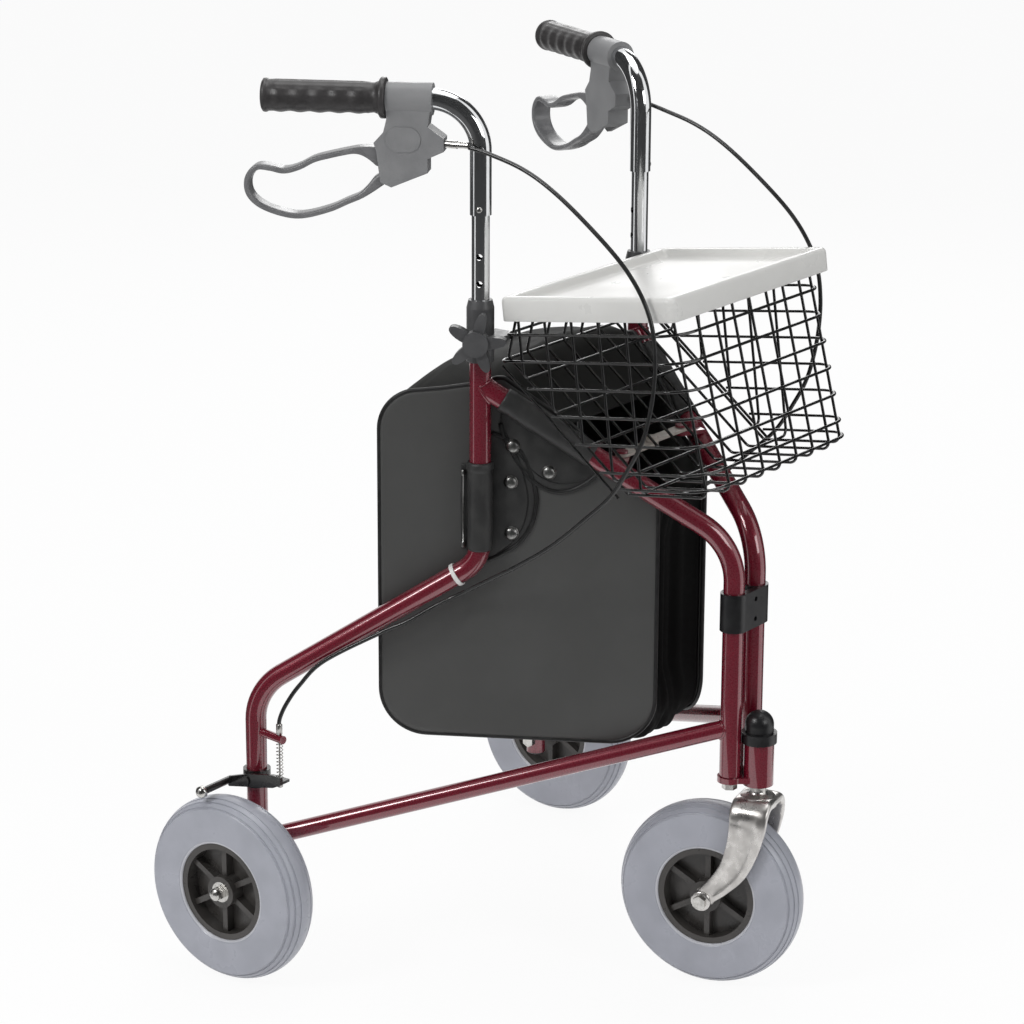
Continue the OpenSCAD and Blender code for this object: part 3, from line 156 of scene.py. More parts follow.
scene.collection.objects.link(card)
drape = bpy.data.materials.new("dark_drape")
drape.use_nodes = True
drape.node_tree.nodes["Principled BSDF"].inputs["Base Color"].default_value = (0.08, 0.08, 0.08, 1)
drape.node_tree.nodes["Principled BSDF"].inputs["Roughness"].default_value = 1.0
card_mesh.materials.append(drape)
card.visible_camera = card.visible_diffuse = card.visible_shadow = card.visible_transmission = False

# Side frames. Two bent steel tubes and a rail on each side, welded with a thin bead all round,
# then sprayed burgundy with fine metal flake and a clear coat; a black plug closes each foot.
flecked = bpy.data.node_groups.new("mottled", "ShaderNodeTree")
for label, kind, start in (
    ("Colour", "NodeSocketColor", (0.5, 0.5, 0.5, 1)),
    ("Shade", "NodeSocketColor", (0.4, 0.4, 0.4, 1)),
    ("Scale", "NodeSocketFloat", 30.0),
    ("Smooth", "NodeSocketFloat", 0.3),
    ("Rough", "NodeSocketFloat", 0.4),
    ("Bump", "NodeSocketFloat", 0.1),
    ("Grain", "NodeSocketFloat", 900.0),
):
    socket = flecked.interface.new_socket(label, in_out="INPUT", socket_type=kind)
    socket.default_value = start
for label, kind in (
    ("Colour", "NodeSocketColor"),
    ("Roughness", "NodeSocketFloat"),
    ("Normal", "NodeSocketVector"),
):
    flecked.interface.new_socket(label, in_out="OUTPUT", socket_type=kind)
nodes, links = flecked.nodes, flecked.links
given = nodes.new("NodeGroupInput")
result = nodes.new("NodeGroupOutput")
where = nodes.new("ShaderNodeTexCoord")
clouds = nodes.new("ShaderNodeTexNoise")
clouds.inputs["Detail"].default_value = 5
links.new(where.outputs["Object"], clouds.inputs["Vector"])
links.new(given.outputs["Scale"], clouds.inputs["Scale"])
spread = nodes.new("ShaderNodeMapRange")
spread.inputs["From Min"].default_value = 0.35
spread.inputs["From Max"].default_value = 0.65
links.new(clouds.outputs["Fac"], spread.inputs["Value"])
tint = nodes.new("ShaderNodeMix")
tint.data_type = "RGBA"
links.new(spread.outputs["Result"], tint.inputs[0])
links.new(given.outputs["Colour"], tint.inputs[6])
links.new(given.outputs["Shade"], tint.inputs[7])
links.new(tint.outputs[2], result.inputs["Colour"])
gloss = nodes.new("ShaderNodeMapRange")
links.new(spread.outputs["Result"], gloss.inputs["Value"])
links.new(given.outputs["Smooth"], gloss.inputs["To Min"])
links.new(given.outputs["Rough"], gloss.inputs["To Max"])
links.new(gloss.outputs["Result"], result.inputs["Roughness"])
pores = nodes.new("ShaderNodeTexNoise")
pores.inputs["Detail"].default_value = 2
links.new(where.outputs["Object"], pores.inputs["Vector"])
links.new(given.outputs["Grain"], pores.inputs["Scale"])
relief = nodes.new("ShaderNodeBump")
relief.inputs["Distance"].default_value = 0.0006
links.new(pores.outputs["Fac"], relief.inputs["Height"])
links.new(given.outputs["Bump"], relief.inputs["Strength"])
links.new(relief.outputs["Normal"], result.inputs["Normal"])


def finish(name, colour, shade, scale, smooth, rough, bump, grain, **sockets):
    """A material whose colour, roughness and relief wander with two noises on Object coordinates:
    a broad one between colour and shade, smooth and rough, and a fine one for the relief."""
    material = bpy.data.materials.new(name)
    material.use_nodes = True
    nodes, links = material.node_tree.nodes, material.node_tree.links
    skin = nodes["Principled BSDF"]
    group = nodes.new("ShaderNodeGroup")
    group.node_tree = flecked
    group.inputs["Colour"].default_value = (*colour, 1)
    group.inputs["Shade"].default_value = (*shade, 1)
    for label, value in zip(
        ("Scale", "Smooth", "Rough", "Bump", "Grain"), (scale, smooth, rough, bump, grain)
    ):
        group.inputs[label].default_value = value
    links.new(group.outputs["Colour"], skin.inputs["Base Color"])
    links.new(group.outputs["Roughness"], skin.inputs["Roughness"])
    links.new(group.outputs["Normal"], skin.inputs["Normal"])
    for label, value in sockets.items():
        skin.inputs[label.replace("_", " ")].default_value = value
    return material


def wear(material, *names):
    """Gives CAD nodes a material."""
    for name in names:
        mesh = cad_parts[name].data
        mesh.materials.clear()
        mesh.materials.append(material)


burgundy = finish(
    "burgundy_flake", (0.200, 0.008, 0.024), (0.160, 0.006, 0.019), 600, 0.24, 0.34, 0.03, 1800,
    Metallic=0.25, Coat_Weight=1.0, Coat_Roughness=0.03, Coat_IOR=1.75,
)
SIDES = (("right", 1), ("left", -1))
for side, _ in SIDES:
    wear(burgundy, f"{side}_main_tube", f"{side}_diagonal_tube", f"{side}_lower_rail")
# the right hinge post's place, and the sine and cosine of the side frame's splay of 28.3 degrees
POST_X, POST_Y = 0.020, 0.231632
SPLAY_SIN, SPLAY_COS = 0.474088, 0.880477


def on_side(side, d, n, z):
    """Points of a side frame: d back from the hinge post along the frame, n outwards and z up.
    side is 1 on the right and -1, its mirror image, on the left."""
    x = side * (POST_X + SPLAY_SIN * d + SPLAY_COS * n)
    y = POST_Y - SPLAY_COS * d + SPLAY_SIN * n
    return np.stack(np.broadcast_arrays(x, y, np.asarray(z, float)), axis=-1)


def carry(path, ring, up, closed=False):
    """A profile carried along a path: at each point P with tangent T, side = T x up made unit,
    lift = side x T, and the skin is P + ring[0] side + ring[1] lift."""
    if closed:
        tangent = np.roll(path, -1, axis=0) - np.roll(path, 1, axis=0)
    else:
        tangent = np.gradient(path, axis=0)
    tangent /= np.linalg.norm(tangent, axis=1, keepdims=True)
    across = np.cross(tangent, np.broadcast_to(up, path.shape))
    across /= np.linalg.norm(across, axis=1, keepdims=True)
    lift = np.cross(across, tangent)
    ring = np.broadcast_to(ring, (len(path),) + ring.shape[-2:])
    return (
        path[:, None]
        + ring[..., :1] * across[:, None]
        + ring[..., 1:] * lift[:, None]
    )


def round_ring(radius, count):
    """count points of a circle, (r cos t, r sin t)."""
    t = np.linspace(0, 2 * np.pi, count, endpoint=False)
    return radius * np.stack((np.cos(t), np.sin(t)), axis=-1)


def skin_faces(rows, columns, around, along, first):
    """Quads between neighbouring rows and columns of a grid of points that starts at index first."""
    i = np.arange(rows if along else rows - 1)[:, None]
    j = np.arange(columns if around else columns - 1)[None]
    a, b = i * columns, ((i + 1) % rows) * columns
    k = (j + 1) % columns
    return first + np.stack((a + j, a + k, b + k, b + j), axis=-1).reshape(-1, 4)


def piece(name, sheets, material, body=None, around=True, along=False, ends=True, sew=False):
    """One mesh from grids of points, rows x columns x 3. around joins the last column to the first,
    along the last row to the first, and ends close the first and last row with a fan to the row's
    mean point. sew merges the doubles of a sheet whose two faces meet at its edges.
    A closed grid whose signed volume, the sum of a.(b x c)/6, is negative is turned
    right side out. The UV map runs 0 to the row's and the column's mean length in metres."""
    points, quads, fans, uv = [], [], [], []
    first = 0
    for grid in sheets:
        rows, columns = grid.shape[:2]
        flat = grid.reshape(-1, 3)
        faces = skin_faces(rows, columns, around, along, first)
        tops = np.zeros((0, 3), int)
        if ends and around and not along:
            middles = np.stack((grid[0].mean(axis=0), grid[-1].mean(axis=0)))
            flat = np.concatenate((flat, middles))
            j = np.arange(columns)
            k = (j + 1) % columns
            low = first + rows * columns
            last = first + (rows - 1) * columns
            foot = np.stack((first + k, first + j, np.full(columns, low)), axis=-1)
            head = np.stack((last + j, last + k, np.full(columns, low + 1)), axis=-1)
            tops = np.concatenate((foot, head))
        local = np.concatenate((faces[:, [0, 1, 2]], faces[:, [0, 2, 3]], tops)) - first
        centred = flat - flat.mean(axis=0)
        a, b, c = centred[local[:, 0]], centred[local[:, 1]], centred[local[:, 2]]
        if np.einsum("ij,ij->", a, np.cross(b, c)) < 0 and (around or along):
            faces, tops = faces[:, ::-1], tops[:, ::-1]
        step = np.linalg.norm(np.diff(grid, axis=0), axis=-1).mean(axis=1)
        u = np.concatenate(((0,), np.cumsum(step)))
        step = np.linalg.norm(np.diff(grid, axis=1), axis=-1).mean(axis=0)
        v = np.concatenate(((0,), np.cumsum(step)))
        spots = np.stack(np.meshgrid(u, v, indexing="ij"), axis=-1).reshape(-1, 2)
        uv.append(np.concatenate((spots, np.zeros((len(flat) - len(spots), 2)))))
        points.append(flat)
        quads.append(faces)
        fans.append(tops)
        first += len(flat)
    points = np.concatenate(points)
    faces = [f for group in quads + fans for f in group.tolist()]
    mesh = bpy.data.meshes.new(name)
    mesh.from_pydata(points.tolist(), [], faces)
    corner = np.empty(len(mesh.loops), np.int32)
    mesh.loops.foreach_get("vertex_index", corner)
    layer = mesh.uv_layers.new(name="run")
    layer.data.foreach_set("uv", np.concatenate(uv)[corner].astype(np.float32).ravel())
    mesh.polygons.foreach_set("use_smooth", np.ones(len(mesh.polygons), bool))
    if sew:
        loose = bmesh.new()
        loose.from_mesh(mesh)
        bmesh.ops.remove_doubles(loose, verts=loose.verts, dist=1e-6)
        loose.to_mesh(mesh)
        loose.free()
    mesh.materials.append(material)
    made = bpy.data.objects.new(name, mesh)
    scene.collection.objects.link(made)
    if body:
        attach(made, body)
    return made


def weld_line(post, post_r, start, way, tube_r):
    """Where a tube meets a round post: on each line of the tube, start + r(cos t, sin t) + s way,
    the s at which its distance from the post's axis is the post's radius."""
    way = way / np.linalg.norm(way)
    level = np.cross(way, (0, 0, 1))
    level /= np.linalg.norm(level)
    t = np.linspace(0, 2 * np.pi, 48, endpoint=False)[:, None]
    out = np.cos(t) * level + np.sin(t) * np.cross(level, way)
    line = start + tube_r * out
    gap = line[:, :2] - post
    a = way[:2] @ way[:2]
    b = gap @ way[:2]
    c = (gap**2).sum(axis=1) - post_r**2
    s = (-b + np.sqrt(np.maximum(b * b - a * c, 0))) / a
    return line + s[:, None] * way, out


def turned(profile, count):
    """A turned piece: the profile's (radius, height) carried round the z axis."""
    profile = np.asarray(profile, float)
    ring = round_ring(1, count)
    flat = profile[:, None, :1] * ring
    rise = np.broadcast_to(profile[:, None, 1:], flat.shape[:2] + (1,))
    return np.concatenate((flat, rise), axis=2)


# radii of tubes, rails and weld beads, how far back upright and rear leg stand, the leg's lower end
TUBE, RAIL, BEAD = 0.011, 0.0095, 0.0014
UPRIGHT, LEG = 0.260, 0.496
FOOT = 0.084
rail_front, rail_rear = (0.0, 0.290), (LEG, 0.139)
black_plug = finish(
    "black_moulding", (0.008, 0.008, 0.009), (0.014, 0.014, 0.015), 60, 0.28, 0.42, 0.10, 1400
)
for side, sign in SIDES:
    seams = []
    for r, low, high in (
        (RAIL, rail_front, rail_rear),
        (RAIL, rail_rear, rail_front),
        (TUBE, (UPRIGHT, 0.643), (0.0, 0.485)),
    ):
        start = on_side(sign, low[0], 0, low[1])
        way = on_side(sign, high[0], 0, high[1]) - start
        line, out = weld_line(start[:2], TUBE, start, way, r)
        seams.append(carry(line, round_ring(BEAD, 10), out, closed=True))
    piece(f"{side}_weld_beads", seams, burgundy, f"{side}_frame", along=True)
    plug = turned(
        ((0.0088, 0.010), (TUBE, 0.006), (TUBE, 0.0025), (0.0096, 0.0012), (0.007, 0), (0.0005, 0)), 32
    )
    foot = on_side(sign, LEG, 0, 0) + (0, 0, FOOT - 0.0028)
    piece(f"{side}_foot_plug", [foot + plug], black_plug, f"{side}_frame")

# Swivel head. A welded steel housing with two swivel bearings, a moulded cap with a flange pressed
# on top, and a moulded strap that ties the two hinge posts; the posts turn on plated bolts.
dark_moulding = finish(
    "dark_moulding", (0.064, 0.064, 0.066), (0.082, 0.082, 0.084), 45, 0.34, 0.50, 0.16, 1100
)
plated = finish(
    "plated_steel", (0.62, 0.61, 0.59), (0.50, 0.49, 0.47), 220, 0.16, 0.34, 0.05, 900, Metallic=1.0
)
wear(burgundy, "head_tube")
wear(black_plug, "head_cap", "hinge_strap")
wear(plated, "hinge_bolts", "head_bearings", "caster_stem", "front_axle")

# Caster fork. One aluminium casting: an arched crown round the stem's pad and two flat legs that
# sweep back to the axle, with two grooves down each leg, polished and lacquered.
# the caster's turn, the stem's y, how far the axle trails behind it, and how high all axles stand
TURN, STEM_Y = np.radians(12), 0.253632
TRAIL, AXLE = 0.048, 0.1


def at_caster(points):
    """The swivelled fork's own x, y, z, in metres, turned 12 degrees about the stem's axis."""
    x, y, z = np.moveaxis(points, -1, 0)
    c, s = np.cos(TURN), np.sin(TURN)
    return np.stack((c * x - s * y, s * x + c * y + STEM_Y, z), axis=-1)


def smooth_path(knots, count):
    """count points, evenly spaced in knots, of the Catmull-Rom curve through the knots:
    each span is the cubic whose end slopes are half the chord of its neighbours."""
    knots = np.asarray(knots, float)
    ends = np.concatenate((2 * knots[:1] - knots[1:2], knots, 2 * knots[-1:] - knots[-2:-1]))
    u = np.linspace(0, len(knots) - 1, count)
    i = np.minimum(u.astype(int), len(knots) - 2)
    t = (u - i)[:, None]
    a, b, c, d = (ends[i + k] for k in range(4))
    square, cube = 2 * a - 5 * b + 4 * c - d, 3 * b - a - 3 * c + d
    return 0.5 * (2 * b + (c - a) * t + square * t**2 + cube * t**3)


cast = finish(
    "polished_casting", (0.66, 0.64, 0.62), (0.55, 0.53, 0.51), 90, 0.22, 0.38, 0.07, 700,
    Metallic=0.95, Coat_Weight=0.3,
)
# y, z, x of the leg's middle line, width across the leg and thickness, in mm, from axle to crown
half_fork = np.array(
    (
        (-48.0, 100.0, 29.0, 20.0, 8.0),
        (-40.5, 108.5, 29.0, 21.0, 8.0),
        (-29.0, 120.0, 29.0, 24.5, 8.0),
        (-14.2, 139.5, 29.0, 30.5, 8.0),
        (-4.9, 164.0, 29.0, 35.5, 8.2),
        (-0.6, 186.0, 29.0, 39.0, 8.6),
        (0.0, 200.0, 26.6, 41.0, 9.6),
        (0.0, 208.0, 18.0, 41.5, 11.6),
        (0.0, 209.0, 9.0, 41.5, 12.0),
    )
)
other = half_fork[::-1] * (1, 1, -1, 1, 1)
middle = np.array(((0.0, 209.0, 0.0, 41.5, 12.0),))
fork_steps = 181
line = smooth_path(np.concatenate((half_fork, middle, other)), fork_steps) / 1000
arch = line[:, [2, 0, 1]]
crown_from = 0.187
rise = np.maximum(arch[:, 2] - crown_from, 0) * 1.6 + 1e-5
outward = np.stack((arch[:, 0], 0 * arch[:, 0], rise), axis=-1)
t = np.linspace(0, 2 * np.pi, 72, endpoint=False)
c, s = np.cos(t), np.sin(t)
wide = np.sign(c) * np.abs(c) ** 0.45 / 2
thick = np.sign(s) * np.abs(s) ** 0.45 / 2
from_top = np.abs(np.linspace(0, 1, fork_steps) - 0.5)
deep = np.clip((from_top - 0.16) / 0.05, 0, 1) * np.clip((0.44 - from_top) / 0.05, 0, 1)
groove_at, groove_wide, groove_deep = 0.17, 0.05, 0.0022
dents = sum(np.exp(-(((wide - at) / groove_wide) ** 2)) for at in (groove_at, -groove_at))
dents = groove_deep * deep[:, None] * dents * (thick > 0.2)
ring = np.stack((line[:, 3:4] * wide, line[:, 4:5] * thick - dents), axis=-1)
legs = at_caster(carry(arch, ring, outward))

boss_profile = ((6, 24.6), (10.2, 24.6), (11, 25.4), (11, 33.2), (10.4, 34.4), (9, 35), (6, 35))
boss = turned(np.array(boss_profile) / 1000, 40)
bosses = [
    at_caster(np.stack((end * boss[..., 2], boss[..., 0] - TRAIL, boss[..., 1] + AXLE), axis=-1))
    for end in (1, -1)
]
pad_profile = (
    (7, 202.8), (18.8, 202.8), (20, 204), (20, 211.5), (19, 214), (16.5, 215.6), (12, 216.6), (9.6, 218.2),
    (9, 220.5), (9, 226.5), (7, 226.5),
)
pad = turned(np.array(pad_profile) / 1000, 64)
fork = piece("cast_fork", [legs, at_caster(pad)] + bosses, cast, "caster")
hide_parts("caster_fork")

# Wheels. Moulded black hubs with ribs, pressed on ball bearings, carry solid grey tyres with
# shallow tread grooves; they run on plated axle bolts. A pale ring on each face of a tyre at the
# rim is a painted highlight on the lip of its bead.
tyre_grey = finish(
    "grey_tyre", (0.405, 0.415, 0.465), (0.365, 0.375, 0.42), 28, 0.26, 0.38, 0.08, 1300
)
hub_black = finish(
    "hub_moulding", (0.046, 0.042, 0.039), (0.060, 0.055, 0.051), 50, 0.26, 0.40, 0.12, 1200
)
for at in ("front", "right", "left"):
    wear(tyre_grey, f"{at}_tyre")
    wear(hub_black, f"{at}_hub")
    wear(plated, f"{at}_bearings")
wear(plated, "right_rear_axle", "left_rear_axle")
# pale grey rings on both faces of each tyre at the rim: a painted highlight on the bead's lip
bead_highlight_grey = finish(
    "tyre_bead_highlight", (0.56, 0.565, 0.60), (0.51, 0.515, 0.55), 40, 0.30, 0.42, 0.06, 1300
)
t = np.linspace(0, 2 * np.pi, 96, endpoint=False)
bead_r, bead_thick, bead_out = 0.0548, 0.00195, 0.0186
hoop = bead_r * np.stack((0 * t, np.cos(t), np.sin(t)), axis=-1)
bead = carry(hoop, round_ring(bead_thick, 12), (1, 0, 0), closed=True)
both = [bead + (bead_out, 0, 0), bead - (bead_out, 0, 0)]
# x and y of the right rear wheel's middle
REAR_X, REAR_Y = 0.298148, -0.205085
rings = [at_caster(b + (0, -TRAIL, AXLE)) for b in both]
piece("front_bead_highlight_rings", rings, bead_highlight_grey, "front_wheel", along=True)
for side, sign in SIDES:
    rings = [b + (sign * REAR_X, REAR_Y, AXLE) for b in both]
    piece(f"{side}_bead_highlight_rings", rings, bead_highlight_grey, f"{side}_wheel", along=True)

# Handles. Chromed tubes bent back to the hand slide on a drilled inner tube, held by a moulded
# clamp collar with a five-lobed star knob; a sprung button clicks in the tube's holes.
chrome = finish(
    "chrome_tube", (0.80, 0.81, 0.82), (0.74, 0.75, 0.76), 35, 0.05, 0.13, 0.015, 500, Metallic=1.0
)
dome = turned(np.array(((3.2, 0), (3.2, 1.4), (2.9, 2.3), (2.0, 3.0), (0.8, 3.3))) / 1000, 24)
# n and z of the button's foot
button_n, button_z = 0.0092, 0.8235
for side, sign in SIDES:
    wear(chrome, f"{side}_handle_tube", f"{side}_height_tube")
    wear(dark_moulding, f"{side}_height_collar", f"{side}_knob")
    at = on_side(sign, UPRIGHT + dome[..., 0], button_n + dome[..., 2], button_z + dome[..., 1])
    piece(f"{side}_snap_button", [at], plated, f"{side}_handle")

# Hand grips. Soft black rubber moulded with a flange towards the brake, swells for the fingers,
# oval bumps on both sides and a heavier end, pushed on the chromed tube.
grip_black = finish(
    "grip_rubber", (0.034, 0.032, 0.032), (0.048, 0.045, 0.045), 80, 0.32, 0.44, 0.25, 1600
)
# how far back the grip's flange stands, its middle line's height, and the finger swells' spacing
GRIP_FROM, GRIP_Z, PITCH = 0.3533, 0.931, 0.0196
flange = np.array((0.2, 0.3, 1.0, 5.0, 6.0, 8.0, 12.0, 16.0)) / 1000
tail = np.array((119.5, 121.0, 123.0, 124.4, 124.8)) / 1000
along = np.concatenate((flange, np.linspace(0.018, 0.118, 100), tail))
bare = np.interp(
    along * 1000,
    (0, 0.3, 1, 5, 6, 8, 12, 16, 18, 118, 119.5, 121, 123, 124.4, 124.8),
    (9.4, 19.6, 20.5, 20.5, 19.8, 16.4, 14.8, 15.2, 15.6, 15.8, 16.8, 17, 16.6, 14.5, 9.4),
) / 1000
t = np.linspace(0, 2 * np.pi, 72, endpoint=False)
swell = np.clip((along - 0.018) / 0.006, 0, 1) * np.clip((0.116 - along) / 0.006, 0, 1)
wave = 0.5 - 0.5 * np.cos(2 * np.pi * (along - 0.018) / PITCH)
under = 0.5 - 0.5 * np.sin(t)
fingers = (swell * (0.0012 * wave - 0.0004))[:, None] * under**2
ribs = (swell * 0.0005)[:, None] * (np.abs(np.sin(9 * t)) ** 0.5 * (1 - under) ** 2)
ovals = (swell * 0.0013 * (0.5 + 0.5 * np.cos(2 * np.pi * (along - 0.028) / PITCH)))[:, None]
radius = bare[:, None] + fingers + ribs + ovals * np.abs(np.cos(t)) ** 3
for side, sign in SIDES:
    back = GRIP_FROM + along[:, None] + 0 * t
    rubber = on_side(sign, back, radius * np.cos(t), GRIP_Z + radius * np.sin(t))
    grip = piece(f"{side}_rubber_grip", [rubber], grip_black, f"{side}_handle")
    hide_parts(f"{side}_hand_grip")

# Hand brakes. A moulded housing clamped on the tube holds the lever's pivot and a knurled cable
# adjuster; the lever is a band bent round into a finger loop, thicker at its root, and coated in
# grey plastic.
lever_grey = finish(
    "lever_coating", (0.150, 0.150, 0.154), (0.180, 0.180, 0.184), 70, 0.24, 0.36, 0.14, 1200
)
housing_grey = finish(
    "housing_moulding", (0.205, 0.206, 0.210), (0.235, 0.236, 0.239), 45, 0.36, 0.50, 0.18, 1100
)
# the lever's pivot in d and z, its length and half its thickness; the loop is in shares of its length
PIVOT = np.array((337.82, 868.28))
LEVER, HALF_THICK = 157, 0.0031
loop = PIVOT + LEVER * np.array(
    (
        (0.010, 0.030), (0.110, 0.066), (0.242, 0.076), (0.350, 0.058), (0.459, 0.032), (0.560, 0.003),
        (0.656, -0.047), (0.752, -0.073), (0.847, -0.057), (0.930, -0.057), (0.987, -0.127),
        (0.981, -0.223), (0.904, -0.299), (0.758, -0.350), (0.631, -0.357), (0.465, -0.312),
        (0.350, -0.260), (0.242, -0.210), (0.110, -0.120), (0.010, -0.034),
    )
)
loop_steps = 240
band = smooth_path(loop / 1000, loop_steps)
run = np.linspace(0, 1, loop_steps)
full = np.clip(np.minimum(run, 1 - run) / 0.13, 0, 1)
wide = 0.0115 + 0.0105 * full**2 * (3 - 2 * full)
reach = (band[:, 0] * 1000 - PIVOT[0]) / LEVER
upper_root = 0.0130 * np.clip((0.34 - reach) / 0.18, 0, 1) ** 2
lower_root = 0.0080 * np.clip((0.29 - reach) / 0.12, 0, 1) ** 2
flare = np.where(run < 0.5, upper_root, lower_root)
t = np.linspace(0, 2 * np.pi, 40, endpoint=False)
c, s = np.cos(t), np.sin(t)
flat_side = HALF_THICK * np.sign(c) * np.abs(c) ** 0.6 * np.ones((loop_steps, 1))
ring = np.stack((flat_side, wide[:, None] / 2 * np.sign(s) * np.abs(s) ** 0.4), axis=-1)
RIGHT_OUT = on_side(1, 0, 1, 0) - on_side(1, 0, 0, 0)
path = on_side(1, band[:, 0], 0, band[:, 1])
strap = carry(path, ring, RIGHT_OUT)
# the band's inner side widens where it enters the housing
inward = np.where(run < 0.5, -1, 1)[:, None]
inner = np.clip((strap - path[:, None])[..., 2] * inward / 0.0028, 0, 1)
strap[..., 2] += inner * inward * flare[:, None]
hub = turned(np.array(((3.1, -5.6), (7.6, -5.6), (8.4, -4.8), (8.4, 4.8), (7.6, 5.6), (3.1, 5.6))) / 1000, 40)
for side, sign in SIDES:
    barrel = on_side(sign, PIVOT[0] / 1000 + hub[..., 0], hub[..., 2], PIVOT[1] / 1000 + hub[..., 1])
    shapes = [strap * (sign, 1, 1), barrel]
    lever = piece(f"{side}_lever_loop", shapes, lever_grey, f"{side}_lever")
    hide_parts(f"{side}_brake_lever")
    wear(housing_grey, f"{side}_brake_housing")
    wear(plated, f"{side}_cable_adjuster")

# Brake cables. A plastic-cased steel wire from each hand brake hangs in a bow down to the slope of
# the frame, is tied to it and ends in a ferrule on the stop peg; the bare wire pulls the arm.
casing = finish(
    "cable_casing", (0.016, 0.016, 0.016), (0.024, 0.024, 0.024), 40, 0.16, 0.26, 0.05, 900
)
ROUTE = np.array(
    (
        (160, -231, 886), (157, -210, 882), (156, -172, 872), (156, -139, 857), (156, -101, 832),
        (156, -56, 796), (156, -31, 767), (156, -17, 738), (156, -12, 706), (156, -13, 674),
        (156, -18, 644), (156, -26, 617), (156, -39, 592), (156, -61, 558), (156, -89, 531),
        (156, -130, 495), (156, -172, 466), (156, -205, 446), (158, -243, 423), (170, -264, 410),
        (189, -289, 392), (201, -311, 380), (231, -364, 346), (247, -384, 320), (257, -394, 300),
        (262, -399, 284), (262.15, -399.72, 272.8),
    )
)
route = smooth_path(ROUTE / 1000 + (0, POST_Y, 0), 261)
# the casing's diameter, and x and y of the upright line on which ferrule, wire and spring stand
CABLE, PULL = 0.0044, (0.262148, -0.168083)
ferrule = turned(
    np.array(((1.0, 266.8), (2.9, 266.8), (3.3, 267.2), (3.3, 277.4), (3.0, 278.4), (2.55, 278.8))) / 1000, 28
)
wire = turned(
    np.array(((0.9, 268.0), (0.9, 255), (0.9, 245), (0.9, 235), (0.9, 225), (0.9, 216), (0.9, 209))) / 1000, 12
)
nipple = turned(
    np.array(((0.9, 213.7), (2.6, 213.7), (3.0, 213.2), (3.0, 209.2), (2.6, 208.7), (0.9, 208.7))) / 1000, 24
)
# the spring's number of turns, radius, foot and length, in mm, and its wire's radius, in metres
coils, coil_r, coil_foot, coil_long = 10, 3.2, 218.1, 38.3
coil_wire = 0.0005
turns = np.linspace(0, coils, 321)
angle = 2 * np.pi * turns
coil = np.stack(
    (coil_r * np.cos(angle), coil_r * np.sin(angle), coil_foot + coil_long * turns / coils), axis=-1
) / 1000
coil = carry(coil, round_ring(coil_wire, 10), (0, 0, 1))
for side, sign in SIDES:
    mirror = np.array((sign, 1, 1))
    cable = piece(f"{side}_cable", [carry(route, round_ring(CABLE / 2, 14), (1, 0, 0)) * mirror], casing)
    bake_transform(cable)
    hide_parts(f"{side}_brake_cable")
    place = np.array((*PULL, 0))
    piece(f"{side}_cable_ferrule", [(ferrule + place) * mirror], plated, f"{side}_frame")
    pull = piece(f"{side}_cable_wire", [(wire + place) * mirror, (nipple + place) * mirror], plated)
    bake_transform(pull)
    spring = piece(f"{side}_return_spring", [(coil + place) * mirror], plated)
    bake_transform(spring)
    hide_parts(f"{side}_brake_spring")

# Wheel brakes and brace. A painted steel arm on a clamp round the rear leg swings a bar down on the
# tyre; two zinc-plated links, pinned to lugs on the diagonals, hold the side frames apart.
arm_black = finish(
    "arm_paint", (0.007, 0.007, 0.007), (0.012, 0.012, 0.012), 90, 0.24, 0.40, 0.08, 1000, Coat_Weight=0.4
)
zinc = finish(
    "zinc_plate", (0.44, 0.40, 0.36), (0.38, 0.345, 0.31), 160, 0.34, 0.48, 0.06, 900, Metallic=0.25
)
for side, _ in SIDES:
    wear(arm_black, f"{side}_brake_arm", f"{side}_brake_clamp")
    wear(zinc, f"{side}_brace_link")

# Wire basket. Mild steel rods bent into rings and cross wires, welded where they cross and dipped
# in glossy black; it rests on the collars' tongues.
dipped = finish(
    "dipped_wire", (0.004, 0.004, 0.004), (0.008, 0.008, 0.008), 120, 0.14, 0.24, 0.04, 700, Coat_Weight=1.0
)
wear(dipped, "basket_frame")

# Tray. A vacuum-formed white tray with a rolled lip, a shallow dish and a skirt that drops over
# the basket's rim.
# the tray's tilt, and y and z of its rear edge
TILT = np.radians(7.5)
TRAY_Y, TRAY_Z = 0.0277, 0.737


def on_tray(x, y, w):
    """The tray's own x across, y forward from its rear edge and w up, tilted 7.5 degrees front up."""
    c, s = np.cos(TILT), np.sin(TILT)
    return np.stack((x, TRAY_Y + c * y - s * w, TRAY_Z + s * y + c * w), axis=-1)


def rounded(half_x, half_y, corner, count):
    """A rectangle with round corners: 4 quarter circles of count points about the corners' centres."""
    t = (np.arange(4)[:, None] * 90 + np.linspace(0, 90, count)) * np.pi / 180
    cx = np.array((1, -1, -1, 1))[:, None] * (half_x - corner)
    cy = np.array((1, 1, -1, -1))[:, None] * (half_y - corner)
    return np.stack((cx + corner * np.cos(t), cy + corner * np.sin(t)), axis=-1).reshape(-1, 2)


white = finish(
    "white_tray", (0.715, 0.71, 0.685), (0.685, 0.68, 0.655), 12, 0.26, 0.38, 0.06, 600, Coat_Weight=0.1
)
